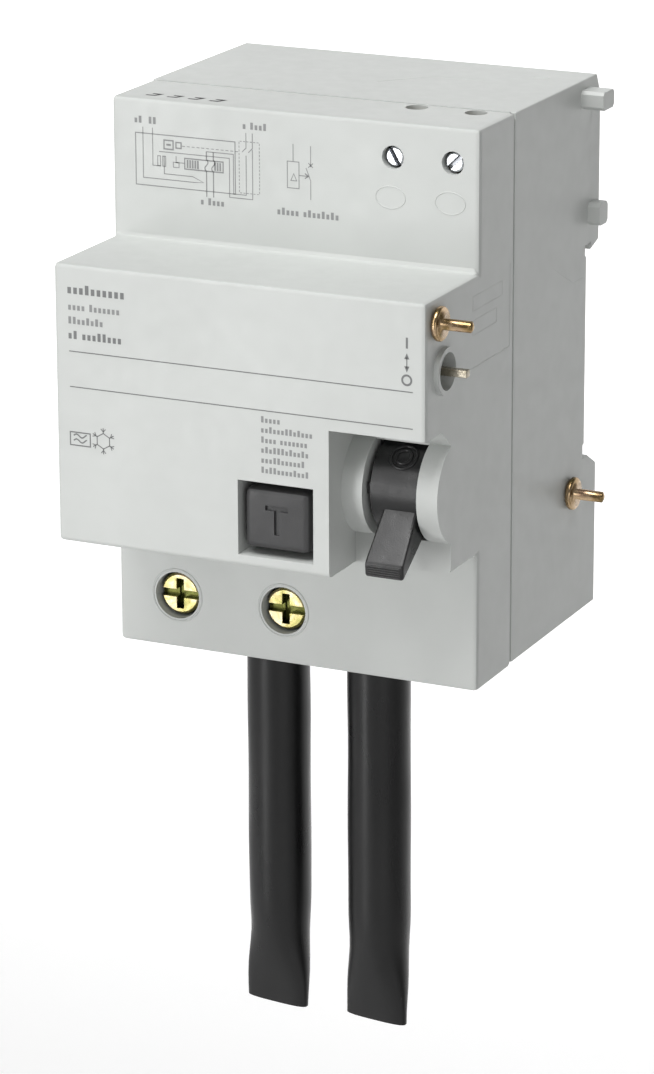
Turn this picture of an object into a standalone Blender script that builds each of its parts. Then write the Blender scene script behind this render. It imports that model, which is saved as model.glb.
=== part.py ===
"""A residual current unit that couples to the right-hand side of a rail-mounted breaker.

X points right, Y points back to the rail and Z points up. The origin is the middle of the
face that rests on the rail. Every size is in metres.
"""

import math

import bmesh
import bpy
from mathutils import Matrix, Vector

# Housing
WIDTH = 0.063
HEIGHT = 0.090
NOSE_HEIGHT = 0.045
NOSE_FRONT_Y = -0.064
SHOULDER_FRONT_Y = -0.044
PARTING_Y = -0.030
FOOT_BACK_Y = 0.0052
WALL = 0.0018
BASE_STEP = 0.0006
EDGE_ROUND = 0.0008
PARTING_GAP = 0.00012
GAP = 0.0003
TOP_CHAMFER_DEPTH = 0.0016
TOP_CHAMFER_HEIGHT = 0.0034

# Rail notch
RAIL_TOP_Z = 0.0174
RAIL_BOTTOM_Z = -0.0183
LIP_OVERLAP = 0.0011
LIP_FRONT_Y = 0.0016
SEAT_PROUD = 0.0005
FOOT_CHAMFER = 0.0021

# Recess of the toggle
RECESS_LEFT_X = 0.01545
RECESS_TOP_Z = 0.001
RECESS_BACK_Y = -0.0544
GUARD_PROUD = 0.00106
GUARD_THICKNESS = 0.0035
HOOD_FRONT_Y = -0.058

# Toggle
TOGGLE_Y = -0.0512
TOGGLE_Z = -0.0098
DRUM_RADIUS = 0.0074
DRUM_CLEARANCE = 0.0004
DRUM_LEFT_GAP = 0.0009
SHAFT_RADIUS = 0.0015
SHAFT_CLEARANCE = 0.0001
TONGUE_LEFT_GAP = 0.0020
TONGUE_RIGHT_GAP = 0.0002
TONGUE_TIP_WIDEN_LEFT = 0.0006
TONGUE_TIP_WIDEN_RIGHT = 0.0003
TONGUE_ROUND = 0.00045
SPRING_POCKET_RADIUS = 0.0048
SPRING_POCKET_DEPTH = 0.003

# Test button
WINDOW_LEFT_X = 0.0
WINDOW_TOP_Z = -0.0086
WINDOW_WIDTH = 0.0128
WINDOW_HEIGHT = 0.0120
WINDOW_SLEEVE = 0.0065
BUTTON_FLANGE = 0.001
BUTTON_ROUND = 0.0012
BUTTON_INSET = 0.0004
BUTTON_SIDE_GAP = 0.0008
BUTTON_END_GAP = 0.0011
BUTTON_STEM_RADIUS = 0.0016
RETAINER_Y = -0.0504
RETAINER_THICKNESS = 0.0014
BUTTON_TRAVEL = 0.002

# Coupling face
FLANGE_RADIUS = 0.0027
FLANGE_THICKNESS = 0.001
PIN_RADIUS = 0.0009
PIN_LENGTH = 0.0048
RIVET_WALL_GAP = 0.00015
FRONT_PIN = (-0.0604, 0.0187)
REAR_PIN = (-0.0065, -0.0226)
BOSS_CENTRE = (-0.0575, 0.0106)
BOSS_THICKNESS = 0.0008
BOSS_BORE = 0.00295
BOSS_SLEEVE = 0.0016
BOSS_PROUD = 0.0008
TRIP_PIN_SIDE = 0.0012
TRIP_PIN_TIP_X = 0.0356
UPPER_LUG = (-0.0034, 0.0404, 0.0046, 0.0030, 0.0039)
LOWER_LUG = (0.0001, 0.0207, 0.0036, 0.0037, 0.0021)

# Main terminals
TERMINAL_XS = (-0.0210, -0.0021)
SIDE_NAMES = ("left", "right")
TERMINAL_FROM_END = 0.0089
SCREW_HEAD_RADIUS = 0.0035
SCREW_HEAD_CLEARANCE = 0.0004
SCREW_HEAD_FRONT_Y = -0.0430
SCREW_CROSS_LENGTH = 0.0050
SCREW_SLOT_WIDTH = 0.0013
SCREW_SLOT_DEPTH = 0.0012
SCREW_HEAD_HEIGHT = 0.0025
SCREW_SHANK_RADIUS = 0.0024
BUSBAR_THICKNESS = 0.0015
BUSBAR_WIDTH = 0.0078
BUSBAR_TOP_Z = -0.0236
CAGE_INNER_WIDTH = 0.0090
CAGE_PLATE = 0.0014
CAGE_HEIGHT = 0.0110
WIRE_SPACE = 0.0085
SCREW_TIP_Y = -0.0331

# Auxiliary terminals
AUX_FROM_SIDE = 0.0045
AUX_PITCH = 0.010
AUX_SIDE_GAP = 0.0002
AUX_Z = 0.0394
AUX_HEAD_RADIUS = 0.00155
AUX_HEAD_CLEARANCE = 0.0003
AUX_HEAD_FRONT_Y = -0.0433
AUX_SLOT_WIDTH = 0.0007
AUX_SLOT_DEPTH = 0.0008
AUX_SLOT_TURNS = (60, -45)
AUX_SHANK_RADIUS = 0.0011
AUX_ENTRY_Y = -0.0328
AUX_ENTRY_SHIFT = -0.0010
AUX_ENTRY_RADIUS = 0.0018

# Leads
CABLE_XS = (-0.0171, 0.0014)
CABLE_Y = -0.015
CABLE_RADIUS = 0.0053
CABLE_TOP_Z = -0.038
CABLE_HOLE_GAP = 0.0004
CONDUCTOR_RADIUS = 0.003

# Summation transformer
CORE_CENTRE = (-0.00785, -0.017, 0.002)
CORE_OUTER_RADIUS = 0.013
CORE_BORE_RADIUS = 0.0075
CORE_HEIGHT = 0.014
WINDING_THICKNESS = 0.0009
CONDUCTOR_PITCH = 0.007

# Trip relay
RELAY_LEFT_X = -0.0270
RELAY_SIZE = (0.0200, 0.0140, 0.0197)
RELAY_WALL = 0.0012
PLUNGER_RADIUS = 0.0009
PLUNGER_REACH = 0.008

# Trip lever
LEVER_AXIS = (-0.046, 0.0106)
LEVER_SHAFT_RADIUS = 0.0012
LEVER_HUB_RADIUS = 0.0030
LEVER_ARM_HEIGHT = 0.0024
SHAFT_BOSS_RADIUS = 0.0026
SHAFT_BOSS_LENGTH = 0.0014

# Rail slider
SLIDER_WIDTH = 0.0124
SLIDER_FLANGE = 0.002
SLIDER_PROUD = 0.0016
SLIDER_TRAVEL_ROOM = 0.004
SLIDER_DEEP_Y = 0.0010
SLIDER_STEP_Y = 0.0030
SPRING_POCKET_LOW_Z = -0.0380
SPRING_POCKET_HIGH_Z = -0.0260
SPRING_POCKET_FRONT_Y = -0.0030
SPRING_POCKET_HALF = 0.0021

HALF_WIDTH = WIDTH / 2
HALF_HEIGHT = HEIGHT / 2
HALF_NOSE = NOSE_HEIGHT / 2
BASE_TOP_Z = HALF_HEIGHT
BASE_BOTTOM_Z = -HALF_HEIGHT + BASE_STEP
INNER_X = HALF_WIDTH - WALL
NOSE_INNER_FRONT_Y = NOSE_FRONT_Y + WALL
NOSE_FLOOR_Z = -HALF_NOSE + WALL
RELAY_LOW = (RELAY_LEFT_X, NOSE_INNER_FRONT_Y + GAP, NOSE_FLOOR_Z + GAP)
RELAY_HIGH = tuple(low + size for low, size in zip(RELAY_LOW, RELAY_SIZE))
GUARD_RIGHT_X = HALF_WIDTH - GUARD_THICKNESS
GUARD_LEFT_END_X = RECESS_LEFT_X + GUARD_THICKNESS
DRUM_LEFT_X = GUARD_LEFT_END_X + DRUM_LEFT_GAP
DRUM_RIGHT_X = GUARD_RIGHT_X - GAP
GUARD_RADIUS = DRUM_RADIUS + GUARD_PROUD
SLOT_HALF_HEIGHT = DRUM_RADIUS + DRUM_CLEARANCE
HOOD_BOTTOM_Z = TOGGLE_Z + SLOT_HALF_HEIGHT
TERMINAL_Z = -HALF_HEIGHT + TERMINAL_FROM_END
AUX_RIGHT_X = HALF_WIDTH - AUX_FROM_SIDE
AUX_XS = (AUX_RIGHT_X - AUX_PITCH, AUX_RIGHT_X)
AUX_BLOCK_WIDTH = 2 * (AUX_FROM_SIDE - WALL - AUX_SIDE_GAP)
RIVET_RADIUS = FRONT_PIN[0] - NOSE_INNER_FRONT_Y - RIVET_WALL_GAP
SCREW_HOLE_RADIUS = SCREW_HEAD_RADIUS + SCREW_HEAD_CLEARANCE
AUX_HOLE_RADIUS = AUX_HEAD_RADIUS + AUX_HEAD_CLEARANCE
BOSS_RADIUS = BOSS_BORE + BOSS_THICKNESS

AXES = {"X": 0, "Y": 1, "Z": 2}


# Materials

def material(name, colour, roughness, metallic=0.0):
    made = bpy.data.materials.get(name)
    if made:
        return made
    made = bpy.data.materials.new(name)
    made.use_nodes = True
    shader = made.node_tree.nodes["Principled BSDF"]
    shader.inputs["Base Color"].default_value = (*colour, 1.0)
    shader.inputs["Roughness"].default_value = roughness
    shader.inputs["Metallic"].default_value = metallic
    return made


def housing_grey():
    return material("housing_grey", (0.60, 0.62, 0.60), 0.45)


def black_plastic():
    return material("black_plastic", (0.02, 0.02, 0.022), 0.4)


def inner_plastic():
    return material("inner_plastic", (0.75, 0.73, 0.66), 0.5)


def gold_chromate():
    return material("gold_chromate", (0.72, 0.56, 0.24), 0.3, 1.0)


def bright_zinc():
    return material("bright_zinc", (0.72, 0.74, 0.76), 0.28, 1.0)


def copper():
    return material("copper", (0.80, 0.42, 0.26), 0.35, 1.0)


def brass():
    return material("brass", (0.78, 0.62, 0.30), 0.35, 1.0)


def soft_iron():
    return material("soft_iron", (0.45, 0.45, 0.46), 0.45, 1.0)


def magnet_black():
    return material("magnet_black", (0.06, 0.06, 0.07), 0.6, 0.3)


def cable_black():
    return material("cable_black", (0.02, 0.02, 0.02), 0.45)


def board_green():
    return material("board_green", (0.05, 0.22, 0.10), 0.5)


# Shapes

def add_object(name, made, surface, origin=(0, 0, 0)):
    """Makes an object of a bmesh whose points are in the part's frame, with its origin at a point."""
    bmesh.ops.recalc_face_normals(made, faces=made.faces)
    bmesh.ops.translate(made, verts=made.verts, vec=-Vector(origin))
    mesh = bpy.data.meshes.new(name)
    made.to_mesh(mesh)
    made.free()
    mesh.materials.append(surface)
    mesh.shade_smooth()
    mesh.set_sharp_from_angle(angle=math.radians(35))
    placed = bpy.data.objects.new(name, mesh)
    placed.location = origin
    bpy.context.scene.collection.objects.link(placed)
    return placed


def on_axis(axis, along, across):
    """A point at a distance along an axis, with the two other coordinates in their usual order."""
    point = list(across)
    point.insert(AXES[axis], along)
    return Vector(point)


def prism(name, outline, axis, start, end, surface, origin=(0, 0, 0)):
    """A closed outline extruded along an axis."""
    made = bmesh.new()
    lower = [made.verts.new(on_axis(axis, start, point)) for point in outline]
    upper = [made.verts.new(on_axis(axis, end, point)) for point in outline]
    made.faces.new(lower)
    made.faces.new(reversed(upper))
    for i in range(len(outline)):
        j = (i + 1) % len(outline)
        made.faces.new((lower[i], upper[i], upper[j], lower[j]))
    return add_object(name, made, surface, origin)


def box(name, low, high, surface, origin=(0, 0, 0)):
    outline = [(low[1], low[2]), (high[1], low[2]), (high[1], high[2]), (low[1], high[2])]
    return prism(name, outline, "X", low[0], high[0], surface, origin)


def turned(name, axis, centre, profile, surface, sides=24, origin=(0, 0, 0)):
    """A solid of revolution from (place along the axis, radius) pairs. Radius 0 closes an end in a point."""
    made = bmesh.new()
    rings = []
    for along, radius in profile:
        if radius == 0:
            rings.append([made.verts.new(on_axis(axis, along, centre))] * sides)
            continue
        ring = []
        for i in range(sides):
            angle = 2 * math.pi * i / sides
            across = (
                centre[0] + radius * math.cos(angle),
                centre[1] + radius * math.sin(angle),
            )
            ring.append(made.verts.new(on_axis(axis, along, across)))
        rings.append(ring)
    for first, second in zip(rings, rings[1:]):
        for i in range(sides):
            j = (i + 1) % sides
            corners = (first[i], first[j], second[j], second[i])
            made.faces.new(tuple(dict.fromkeys(corners)))
    for end in (rings[0], rings[-1]):
        if len(set(end)) > 1:
            made.faces.new(end)
    return add_object(name, made, surface, origin)


def ring_solid(name, centre, inner, outer, low, high, surface, sides=32, turn=(0, 360)):
    """A ring about a vertical axis, or the sector of one between two angles in degrees."""
    made = bmesh.new()
    whole = turn[1] - turn[0] == 360
    count = sides if whole else sides + 1
    sections = []
    for i in range(count):
        angle = math.radians(turn[0] + (turn[1] - turn[0]) * i / sides)
        corners = []
        for radius, z in ((inner, low), (outer, low), (outer, high), (inner, high)):
            x = centre[0] + radius * math.cos(angle)
            y = centre[1] + radius * math.sin(angle)
            corners.append(made.verts.new((x, y, z)))
        sections.append(corners)
    for i in range(sides):
        here, there = sections[i], sections[(i + 1) % count]
        for k in range(4):
            following = (k + 1) % 4
            made.faces.new((here[k], here[following], there[following], there[k]))
    if not whole:
        made.faces.new(sections[0])
        made.faces.new(sections[-1])
    return add_object(name, made, surface)


def smooth_route(points, steps):
    """Points of a Catmull-Rom curve through the given ones."""
    points = [Vector(point) for point in points]
    points = [2 * points[0] - points[1], *points, 2 * points[-1] - points[-2]]
    route = []
    for i in range(1, len(points) - 2):
        before, here, there, after = points[i - 1 : i + 3]
        for step in range(steps):
            t = step / steps
            route.append(
                0.5
                * (
                    2 * here
                    + (there - before) * t
                    + (2 * before - 5 * here + 4 * there - after) * t * t
                    + (3 * here - before - 3 * there + after) * t**3
                )
            )
    return [*route, points[-2]]


def wire(name, points, radius, surface, resolution=2, origin=(0, 0, 0)):
    """A round wire or tube along points in the part's frame."""
    curve = bpy.data.curves.new(name, "CURVE")
    curve.dimensions = "3D"
    curve.bevel_depth = radius
    curve.bevel_resolution = resolution
    curve.use_fill_caps = True
    spline = curve.splines.new("POLY")
    spline.points.add(len(points) - 1)
    for place, point in zip(spline.points, points):
        place.co = (*(Vector(point) - Vector(origin)), 1.0)
    curve.materials.append(surface)
    placed = bpy.data.objects.new(name, curve)
    placed.location = origin
    bpy.context.scene.collection.objects.link(placed)
    return placed


def coil_points(axis, centre, radius, start, end, turns, per_turn=8):
    count = round(turns * per_turn)
    points = []
    for i in range(count + 1):
        angle = 2 * math.pi * i / per_turn
        across = (centre[0] + radius * math.cos(angle), centre[1] + radius * math.sin(angle))
        points.append(on_axis(axis, start + (end - start) * i / count, across))
    return points


def arc_outline(centre, radius, first, last, count):
    """Points on a circle between two angles in degrees."""
    points = []
    for i in range(count + 1):
        angle = math.radians(first + (last - first) * i / count)
        points.append((centre[0] + radius * math.cos(angle), centre[1] + radius * math.sin(angle)))
    return points


def combine(target, operation, helpers):
    for helper in helpers:
        helper.hide_render = True
        helper.display_type = "WIRE"
        modifier = target.modifiers.new(f"{operation} {helper.name}", "BOOLEAN")
        modifier.operation = operation
        modifier.object = helper
        modifier.solver = "EXACT"


def cut(target, *helpers):
    combine(target, "DIFFERENCE", helpers)


def fuse(target, *helpers):
    combine(target, "UNION", helpers)


def round_edges(target, width, segments=2):
    modifier = target.modifiers.new("rounded edges", "BEVEL")
    modifier.width = width
    modifier.segments = segments
    modifier.limit_method = "ANGLE"
    modifier.angle_limit = math.radians(40)


# Housing

def front_outline(inset, back_y):
    """The side view of the front cover, shrunk by a wall."""
    shoulder = SHOULDER_FRONT_Y + inset
    nose = NOSE_FRONT_Y + inset
    top = HALF_HEIGHT - inset
    nose_top = HALF_NOSE - inset
    return [
        (back_y, top),
        (shoulder, top),
        (shoulder, nose_top),
        (nose, nose_top),
        (nose, -nose_top),
        (shoulder, -nose_top),
        (shoulder, -top),
        (back_y, -top),
    ]


def cover_cavity():
    grey = housing_grey()
    back_y = PARTING_Y + 2 * WALL
    cavity = prism("cover_cavity", front_outline(WALL, back_y), "X", -INNER_X, INNER_X, grey)
    walls = box(
        "recess_walls",
        (RECESS_LEFT_X - WALL, NOSE_FRONT_Y, -HALF_NOSE),
        (HALF_WIDTH, RECESS_BACK_Y + WALL, RECESS_TOP_Z + WALL),
        grey,
    )
    cut(cavity, walls)
    return cavity


def guard(name, left, right):
    """One of the two round cheeks beside the toggle, cut off behind the recess."""
    back = RECESS_BACK_Y + WALL / 2
    half_angle = math.degrees(math.acos((TOGGLE_Y - back) / GUARD_RADIUS))
    outline = arc_outline((TOGGLE_Y, TOGGLE_Z), GUARD_RADIUS, 180 - half_angle, 180 + half_angle, 20)
    return prism(name, outline, "X", left, right, housing_grey())


def hood():
    """The sloping web between the recess's ceiling and its back."""
    inside = WALL / 2
    back = RECESS_BACK_Y + inside
    outline = [
        (HOOD_FRONT_Y, RECESS_TOP_Z + inside),
        (HOOD_FRONT_Y, RECESS_TOP_Z),
        (RECESS_BACK_Y, HOOD_BOTTOM_Z),
        (back, HOOD_BOTTOM_Z),
        (back, RECESS_TOP_Z + inside),
    ]
    return prism("hood", outline, "X", RECESS_LEFT_X - inside, HALF_WIDTH, housing_grey())


def shaft_cheek(name, left, right):
    """An inner web that carries one end of the toggle's shaft."""
    low = (left, RECESS_BACK_Y + WALL / 2, TOGGLE_Z - 0.0035)
    high = (right, TOGGLE_Y + 0.005, TOGGLE_Z + 0.0035)
    return box(name, low, high, housing_grey())


def bar_cutter(name, axis, centre, radius, start, end, sides=32):
    return turned(name, axis, centre, [(start, radius), (end, radius)], housing_grey(), sides)


def cut_recess(cover):
    grey = housing_grey()
    past = 2 * WALL
    recess = box(
        "recess",
        (RECESS_LEFT_X, NOSE_FRONT_Y - past, -HALF_NOSE - past),
        (HALF_WIDTH + past, RECESS_BACK_Y, RECESS_TOP_Z),
        grey,
    )
    slot = box(
        "drum_slot",
        (GUARD_LEFT_END_X, RECESS_BACK_Y - past, TOGGLE_Z - SLOT_HALF_HEIGHT),
        (GUARD_RIGHT_X, RECESS_BACK_Y + past, HOOD_BOTTOM_Z - GAP),
        grey,
    )
    cut(cover, recess)
    fuse(
        cover,
        guard("guard_left", RECESS_LEFT_X - WALL / 2, GUARD_LEFT_END_X),
        guard("guard_right", GUARD_RIGHT_X, HALF_WIDTH),
        hood(),
    )
    cut(cover, slot)
    fuse(
        cover,
        shaft_cheek("cheek_left", GUARD_LEFT_END_X - WALL, GUARD_LEFT_END_X),
        shaft_cheek("cheek_right", GUARD_RIGHT_X, HALF_WIDTH - WALL / 2),
    )
    bore = SHAFT_RADIUS + SHAFT_CLEARANCE
    cut(
        cover,
        bar_cutter(
            "shaft_bore",
            "X",
            (TOGGLE_Y, TOGGLE_Z),
            bore,
            GUARD_LEFT_END_X - past,
            HALF_WIDTH - WALL,
            16,
        ),
    )


def window_box(name, margin, front_y, back_y, floor=0.0):
    """A block round the test button's window, larger than it by a margin on each side."""
    low = (WINDOW_LEFT_X - margin, front_y, WINDOW_TOP_Z - WINDOW_HEIGHT - margin + floor)
    high = (WINDOW_LEFT_X + WINDOW_WIDTH + margin, back_y, WINDOW_TOP_Z + margin)
    return box(name, low, high, housing_grey())


def cut_window(cover):
    half = WALL / 2
    fuse(
        cover,
        window_box("window_sleeve", half, NOSE_FRONT_Y + half, NOSE_FRONT_Y + WINDOW_SLEEVE),
    )
    cut(
        cover,
        window_box("window", 0.0, NOSE_FRONT_Y - WALL, NOSE_FRONT_Y + WINDOW_SLEEVE + WALL),
    )


def cut_terminal_holes(cover):
    half = WALL / 2
    for x, side in zip(TERMINAL_XS, SIDE_NAMES):
        collar = bar_cutter(
            f"collar_{side}",
            "Y",
            (x, TERMINAL_Z),
            SCREW_HOLE_RADIUS + WALL / 1.5,
            SHOULDER_FRONT_Y + half,
            SCREW_HEAD_FRONT_Y + SCREW_HEAD_HEIGHT - GAP,
        )
        hole = bar_cutter(
            f"screw_hole_{side}",
            "Y",
            (x, TERMINAL_Z),
            SCREW_HOLE_RADIUS,
            SHOULDER_FRONT_Y - WALL,
            SCREW_HEAD_FRONT_Y + 2 * SCREW_HEAD_HEIGHT,
        )
        fuse(cover, collar)
        cut(cover, hole)
    for number, x in enumerate(AUX_XS, 1):
        screw_way = bar_cutter(
            f"aux_screw_hole_{number}",
            "Y",
            (x, AUX_Z),
            AUX_HOLE_RADIUS,
            SHOULDER_FRONT_Y - WALL,
            SHOULDER_FRONT_Y + 2 * WALL,
            16,
        )
        wire_way = bar_cutter(
            f"aux_entry_{number}",
            "Z",
            (x + AUX_ENTRY_SHIFT, AUX_ENTRY_Y),
            AUX_ENTRY_RADIUS,
            HALF_HEIGHT - 2 * WALL,
            HALF_HEIGHT + WALL,
            16,
        )
        cut(cover, screw_way, wire_way)


def wire_entries(suffix):
    """Cutters for the two wire entries in the underside, which both shells share."""
    back_y = SCREW_TIP_Y + GAP + BUSBAR_THICKNESS + WIRE_SPACE
    front_y = back_y - WIRE_SPACE
    made = []
    for x, side in zip(TERMINAL_XS, SIDE_NAMES):
        low = (x - CAGE_INNER_WIDTH / 2, front_y, -HALF_HEIGHT - WALL)
        high = (x + CAGE_INNER_WIDTH / 2, back_y, -HALF_HEIGHT + 2 * WALL)
        made.append(box(f"wire_entry_{side}_{suffix}", low, high, housing_grey()))
    return made


def pin_hole(name, centre):
    return bar_cutter(name, "X", centre, PIN_RADIUS + GAP, INNER_X - WALL, HALF_WIDTH + WALL, 16)


def add_shaft_bosses(cover):
    """Blind sockets on the inner side walls that carry the trip lever's shaft."""
    for side, sign in zip(SIDE_NAMES, (-1, 1)):
        ends = sorted((sign * (INNER_X - SHAFT_BOSS_LENGTH), sign * (INNER_X + WALL / 2)))
        bores = sorted((sign * (INNER_X - 2 * SHAFT_BOSS_LENGTH), sign * (INNER_X - GAP / 2)))
        bore = LEVER_SHAFT_RADIUS + SHAFT_CLEARANCE
        fuse(cover, bar_cutter(f"shaft_boss_{side}", "X", LEVER_AXIS, SHAFT_BOSS_RADIUS, *ends, 16))
        cut(cover, bar_cutter(f"shaft_socket_{side}", "X", LEVER_AXIS, bore, *bores, 16))


def make_front_cover():
    outline = front_outline(0.0, PARTING_Y - PARTING_GAP / 2)
    cover = prism("front_cover", outline, "X", -HALF_WIDTH, HALF_WIDTH, housing_grey())
    round_edges(cover, EDGE_ROUND)
    cut(cover, cover_cavity())
    cut_recess(cover)
    cut_window(cover)
    cut_terminal_holes(cover)
    add_shaft_bosses(cover)
    cut(cover, *wire_entries("front"))
    boss_end = INNER_X - BOSS_SLEEVE
    boss = bar_cutter(
        "boss", "X", BOSS_CENTRE, BOSS_RADIUS, boss_end, HALF_WIDTH + BOSS_PROUD, 32
    )
    boss_bore = bar_cutter(
        "boss_bore", "X", BOSS_CENTRE, BOSS_BORE, boss_end - WALL, HALF_WIDTH + 2 * BOSS_PROUD, 32
    )
    fuse(cover, boss)
    cut(cover, boss_bore, pin_hole("front_pin_hole", FRONT_PIN))


def base_outline():
    """The side view of the rear base: the rail notch, its hooked upper lip and the raised seat."""
    front = PARTING_Y + PARTING_GAP / 2
    top = BASE_TOP_Z
    bottom = BASE_BOTTOM_Z
    lip = RAIL_TOP_Z - LIP_OVERLAP
    seat_top = lip - 2 * GAP
    seat_bottom = RAIL_BOTTOM_Z + SLIDER_PROUD + 2 * GAP
    return [
        (front, top),
        (FOOT_BACK_Y - TOP_CHAMFER_DEPTH, top),
        (FOOT_BACK_Y, top - TOP_CHAMFER_HEIGHT),
        (FOOT_BACK_Y, lip + LIP_OVERLAP),
        (LIP_FRONT_Y, lip),
        (LIP_FRONT_Y, RAIL_TOP_Z),
        (-SEAT_PROUD, RAIL_TOP_Z),
        (-SEAT_PROUD, seat_top),
        (0.0, seat_top),
        (0.0, seat_bottom),
        (-SEAT_PROUD, seat_bottom),
        (-SEAT_PROUD, RAIL_BOTTOM_Z),
        (LIP_FRONT_Y, RAIL_BOTTOM_Z),
        (FOOT_BACK_Y, RAIL_BOTTOM_Z - FOOT_CHAMFER),
        (FOOT_BACK_Y, bottom),
        (front, bottom),
    ]


def lug(name, spec):
    """A chamfered coupling lug on the right side, from its front, bottom, depth, height and length."""
    front, bottom, depth, height, length = spec
    chamfer = min(depth, height) / 6
    outline = [
        (front + chamfer, bottom),
        (front + depth - chamfer, bottom),
        (front + depth, bottom + chamfer),
        (front + depth, bottom + height - chamfer),
        (front + depth - chamfer, bottom + height),
        (front + chamfer, bottom + height),
        (front, bottom + height - chamfer),
        (front, bottom + chamfer),
    ]
    return prism(name, outline, "X", INNER_X, HALF_WIDTH + length, housing_grey())


def foot_pockets():
    """Weight-saving pockets in the back of both feet, clear of the slider's channel."""
    grey = housing_grey()
    depth = FOOT_BACK_Y + WALL / 2
    made = []
    near = SLIDER_WIDTH / 2 + GAP + SLIDER_FLANGE + WALL
    centre_x = (near + INNER_X) / 2
    half = (INNER_X - near) / 2
    spans = (
        ("upper", RAIL_TOP_Z + 2 * WALL, BASE_TOP_Z - TOP_CHAMFER_HEIGHT - WALL),
        ("lower", BASE_BOTTOM_Z + 2 * WALL, RAIL_BOTTOM_Z - FOOT_CHAMFER - WALL),
    )
    for level, low_z, high_z in spans:
        for side, sign in zip(SIDE_NAMES, (-1, 1)):
            low = (sign * centre_x - half, FOOT_BACK_Y - depth, low_z)
            high = (sign * centre_x + half, FOOT_BACK_Y + WALL, high_z)
            made.append(box(f"pocket_{level}_{side}", low, high, grey))
    return made


def slider_channel():
    grey = housing_grey()
    half = SLIDER_WIDTH / 2 + GAP
    deep_half = half + SLIDER_FLANGE
    below = BASE_BOTTOM_Z - WALL
    deep_top = RAIL_BOTTOM_Z - FOOT_CHAMFER
    return [
        box(
            "channel_deep",
            (-deep_half, SLIDER_DEEP_Y, below),
            (deep_half, SLIDER_STEP_Y + GAP, deep_top),
            grey,
        ),
        box(
            "channel_open",
            (-half, SLIDER_DEEP_Y, below),
            (half, FOOT_BACK_Y + WALL, RAIL_BOTTOM_Z + WALL),
            grey,
        ),
        box(
            "channel_spring",
            (-SPRING_POCKET_HALF, SPRING_POCKET_FRONT_Y, SPRING_POCKET_LOW_Z),
            (SPRING_POCKET_HALF, SLIDER_STEP_Y, SPRING_POCKET_HIGH_Z),
            grey,
        ),
    ]


def base_cavity():
    """The inside of the base, with a pier left standing in front of the slider's spring."""
    grey = housing_grey()
    cavity = box(
        "base_cavity",
        (-INNER_X, PARTING_Y - WALL, BASE_BOTTOM_Z + WALL),
        (INNER_X, -WALL, BASE_TOP_Z - WALL),
        grey,
    )
    pier = box(
        "spring_pier",
        (
            -SPRING_POCKET_HALF - WALL,
            SPRING_POCKET_FRONT_Y - WALL,
            SPRING_POCKET_LOW_Z - WALL,
        ),
        (SPRING_POCKET_HALF + WALL, 0.0, SPRING_POCKET_HIGH_Z + WALL),
        grey,
    )
    cut(cavity, pier)
    return cavity


def make_rear_base():
    base = prism("rear_base", base_outline(), "X", -HALF_WIDTH, HALF_WIDTH, housing_grey())
    round_edges(base, EDGE_ROUND / 2)
    cut(base, base_cavity(), *foot_pockets(), *slider_channel())
    fuse(base, lug("upper_lug", UPPER_LUG), lug("lower_lug", LOWER_LUG))
    for x, side in zip(CABLE_XS, SIDE_NAMES):
        way = bar_cutter(
            f"cable_hole_{side}",
            "Z",
            (x, CABLE_Y),
            CABLE_RADIUS + CABLE_HOLE_GAP,
            -HALF_HEIGHT - WALL,
            -HALF_HEIGHT + 2 * WALL,
        )
        cut(base, way)
    cut(base, *wire_entries("rear"), pin_hole("rear_pin_hole", REAR_PIN))


# Rail slider

def make_rail_slider():
    grey = black_plastic()
    half = SLIDER_WIDTH / 2
    deep_half = half + SLIDER_FLANGE
    front = SLIDER_DEEP_Y + GAP
    back = FOOT_BACK_Y - GAP
    bottom = BASE_BOTTOM_Z - SLIDER_PROUD
    lip_top = RAIL_BOTTOM_Z + SLIDER_PROUD
    outline = [
        (front, bottom),
        (back, bottom),
        (back, RAIL_BOTTOM_Z - GAP),
        (back - FOOT_CHAMFER, lip_top),
        (LIP_FRONT_Y + GAP, lip_top),
        (LIP_FRONT_Y + GAP, RAIL_BOTTOM_Z - FOOT_CHAMFER),
        (front, RAIL_BOTTOM_Z - FOOT_CHAMFER),
    ]
    slider = prism("rail_slider", outline, "X", -half, half, grey)
    wings_top = RAIL_BOTTOM_Z - FOOT_CHAMFER - 2 * GAP
    wings = box(
        "slider_wings",
        (-deep_half, front, BASE_BOTTOM_Z + SLIDER_TRAVEL_ROOM),
        (deep_half, SLIDER_STEP_Y, wings_top),
        grey,
    )
    tab = box(
        "slider_tab",
        (
            -SPRING_POCKET_HALF + GAP,
            SPRING_POCKET_FRONT_Y + GAP,
            SPRING_POCKET_HIGH_Z - 3 * WALL / 2,
        ),
        (SPRING_POCKET_HALF - GAP, SLIDER_STEP_Y, SPRING_POCKET_HIGH_Z - GAP),
        grey,
    )
    eye = box(
        "slider_eye",
        (-half / 2, front - WALL, bottom + WALL),
        (half / 2, back + WALL, bottom + 2.6 * WALL),
        grey,
    )
    fuse(slider, wings, tab)
    cut(slider, eye)
    coil = coil_points(
        "Z",
        (0.0, SPRING_POCKET_FRONT_Y + SPRING_POCKET_HALF),
        SPRING_POCKET_HALF - 3 * GAP,
        SPRING_POCKET_LOW_Z + 2 * GAP,
        SPRING_POCKET_HIGH_Z - 3 * WALL / 2 - 2 * GAP,
        5,
    )
    wire("rail_slider_spring", coil, 0.00022, bright_zinc(), 1)


# Toggle

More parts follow.
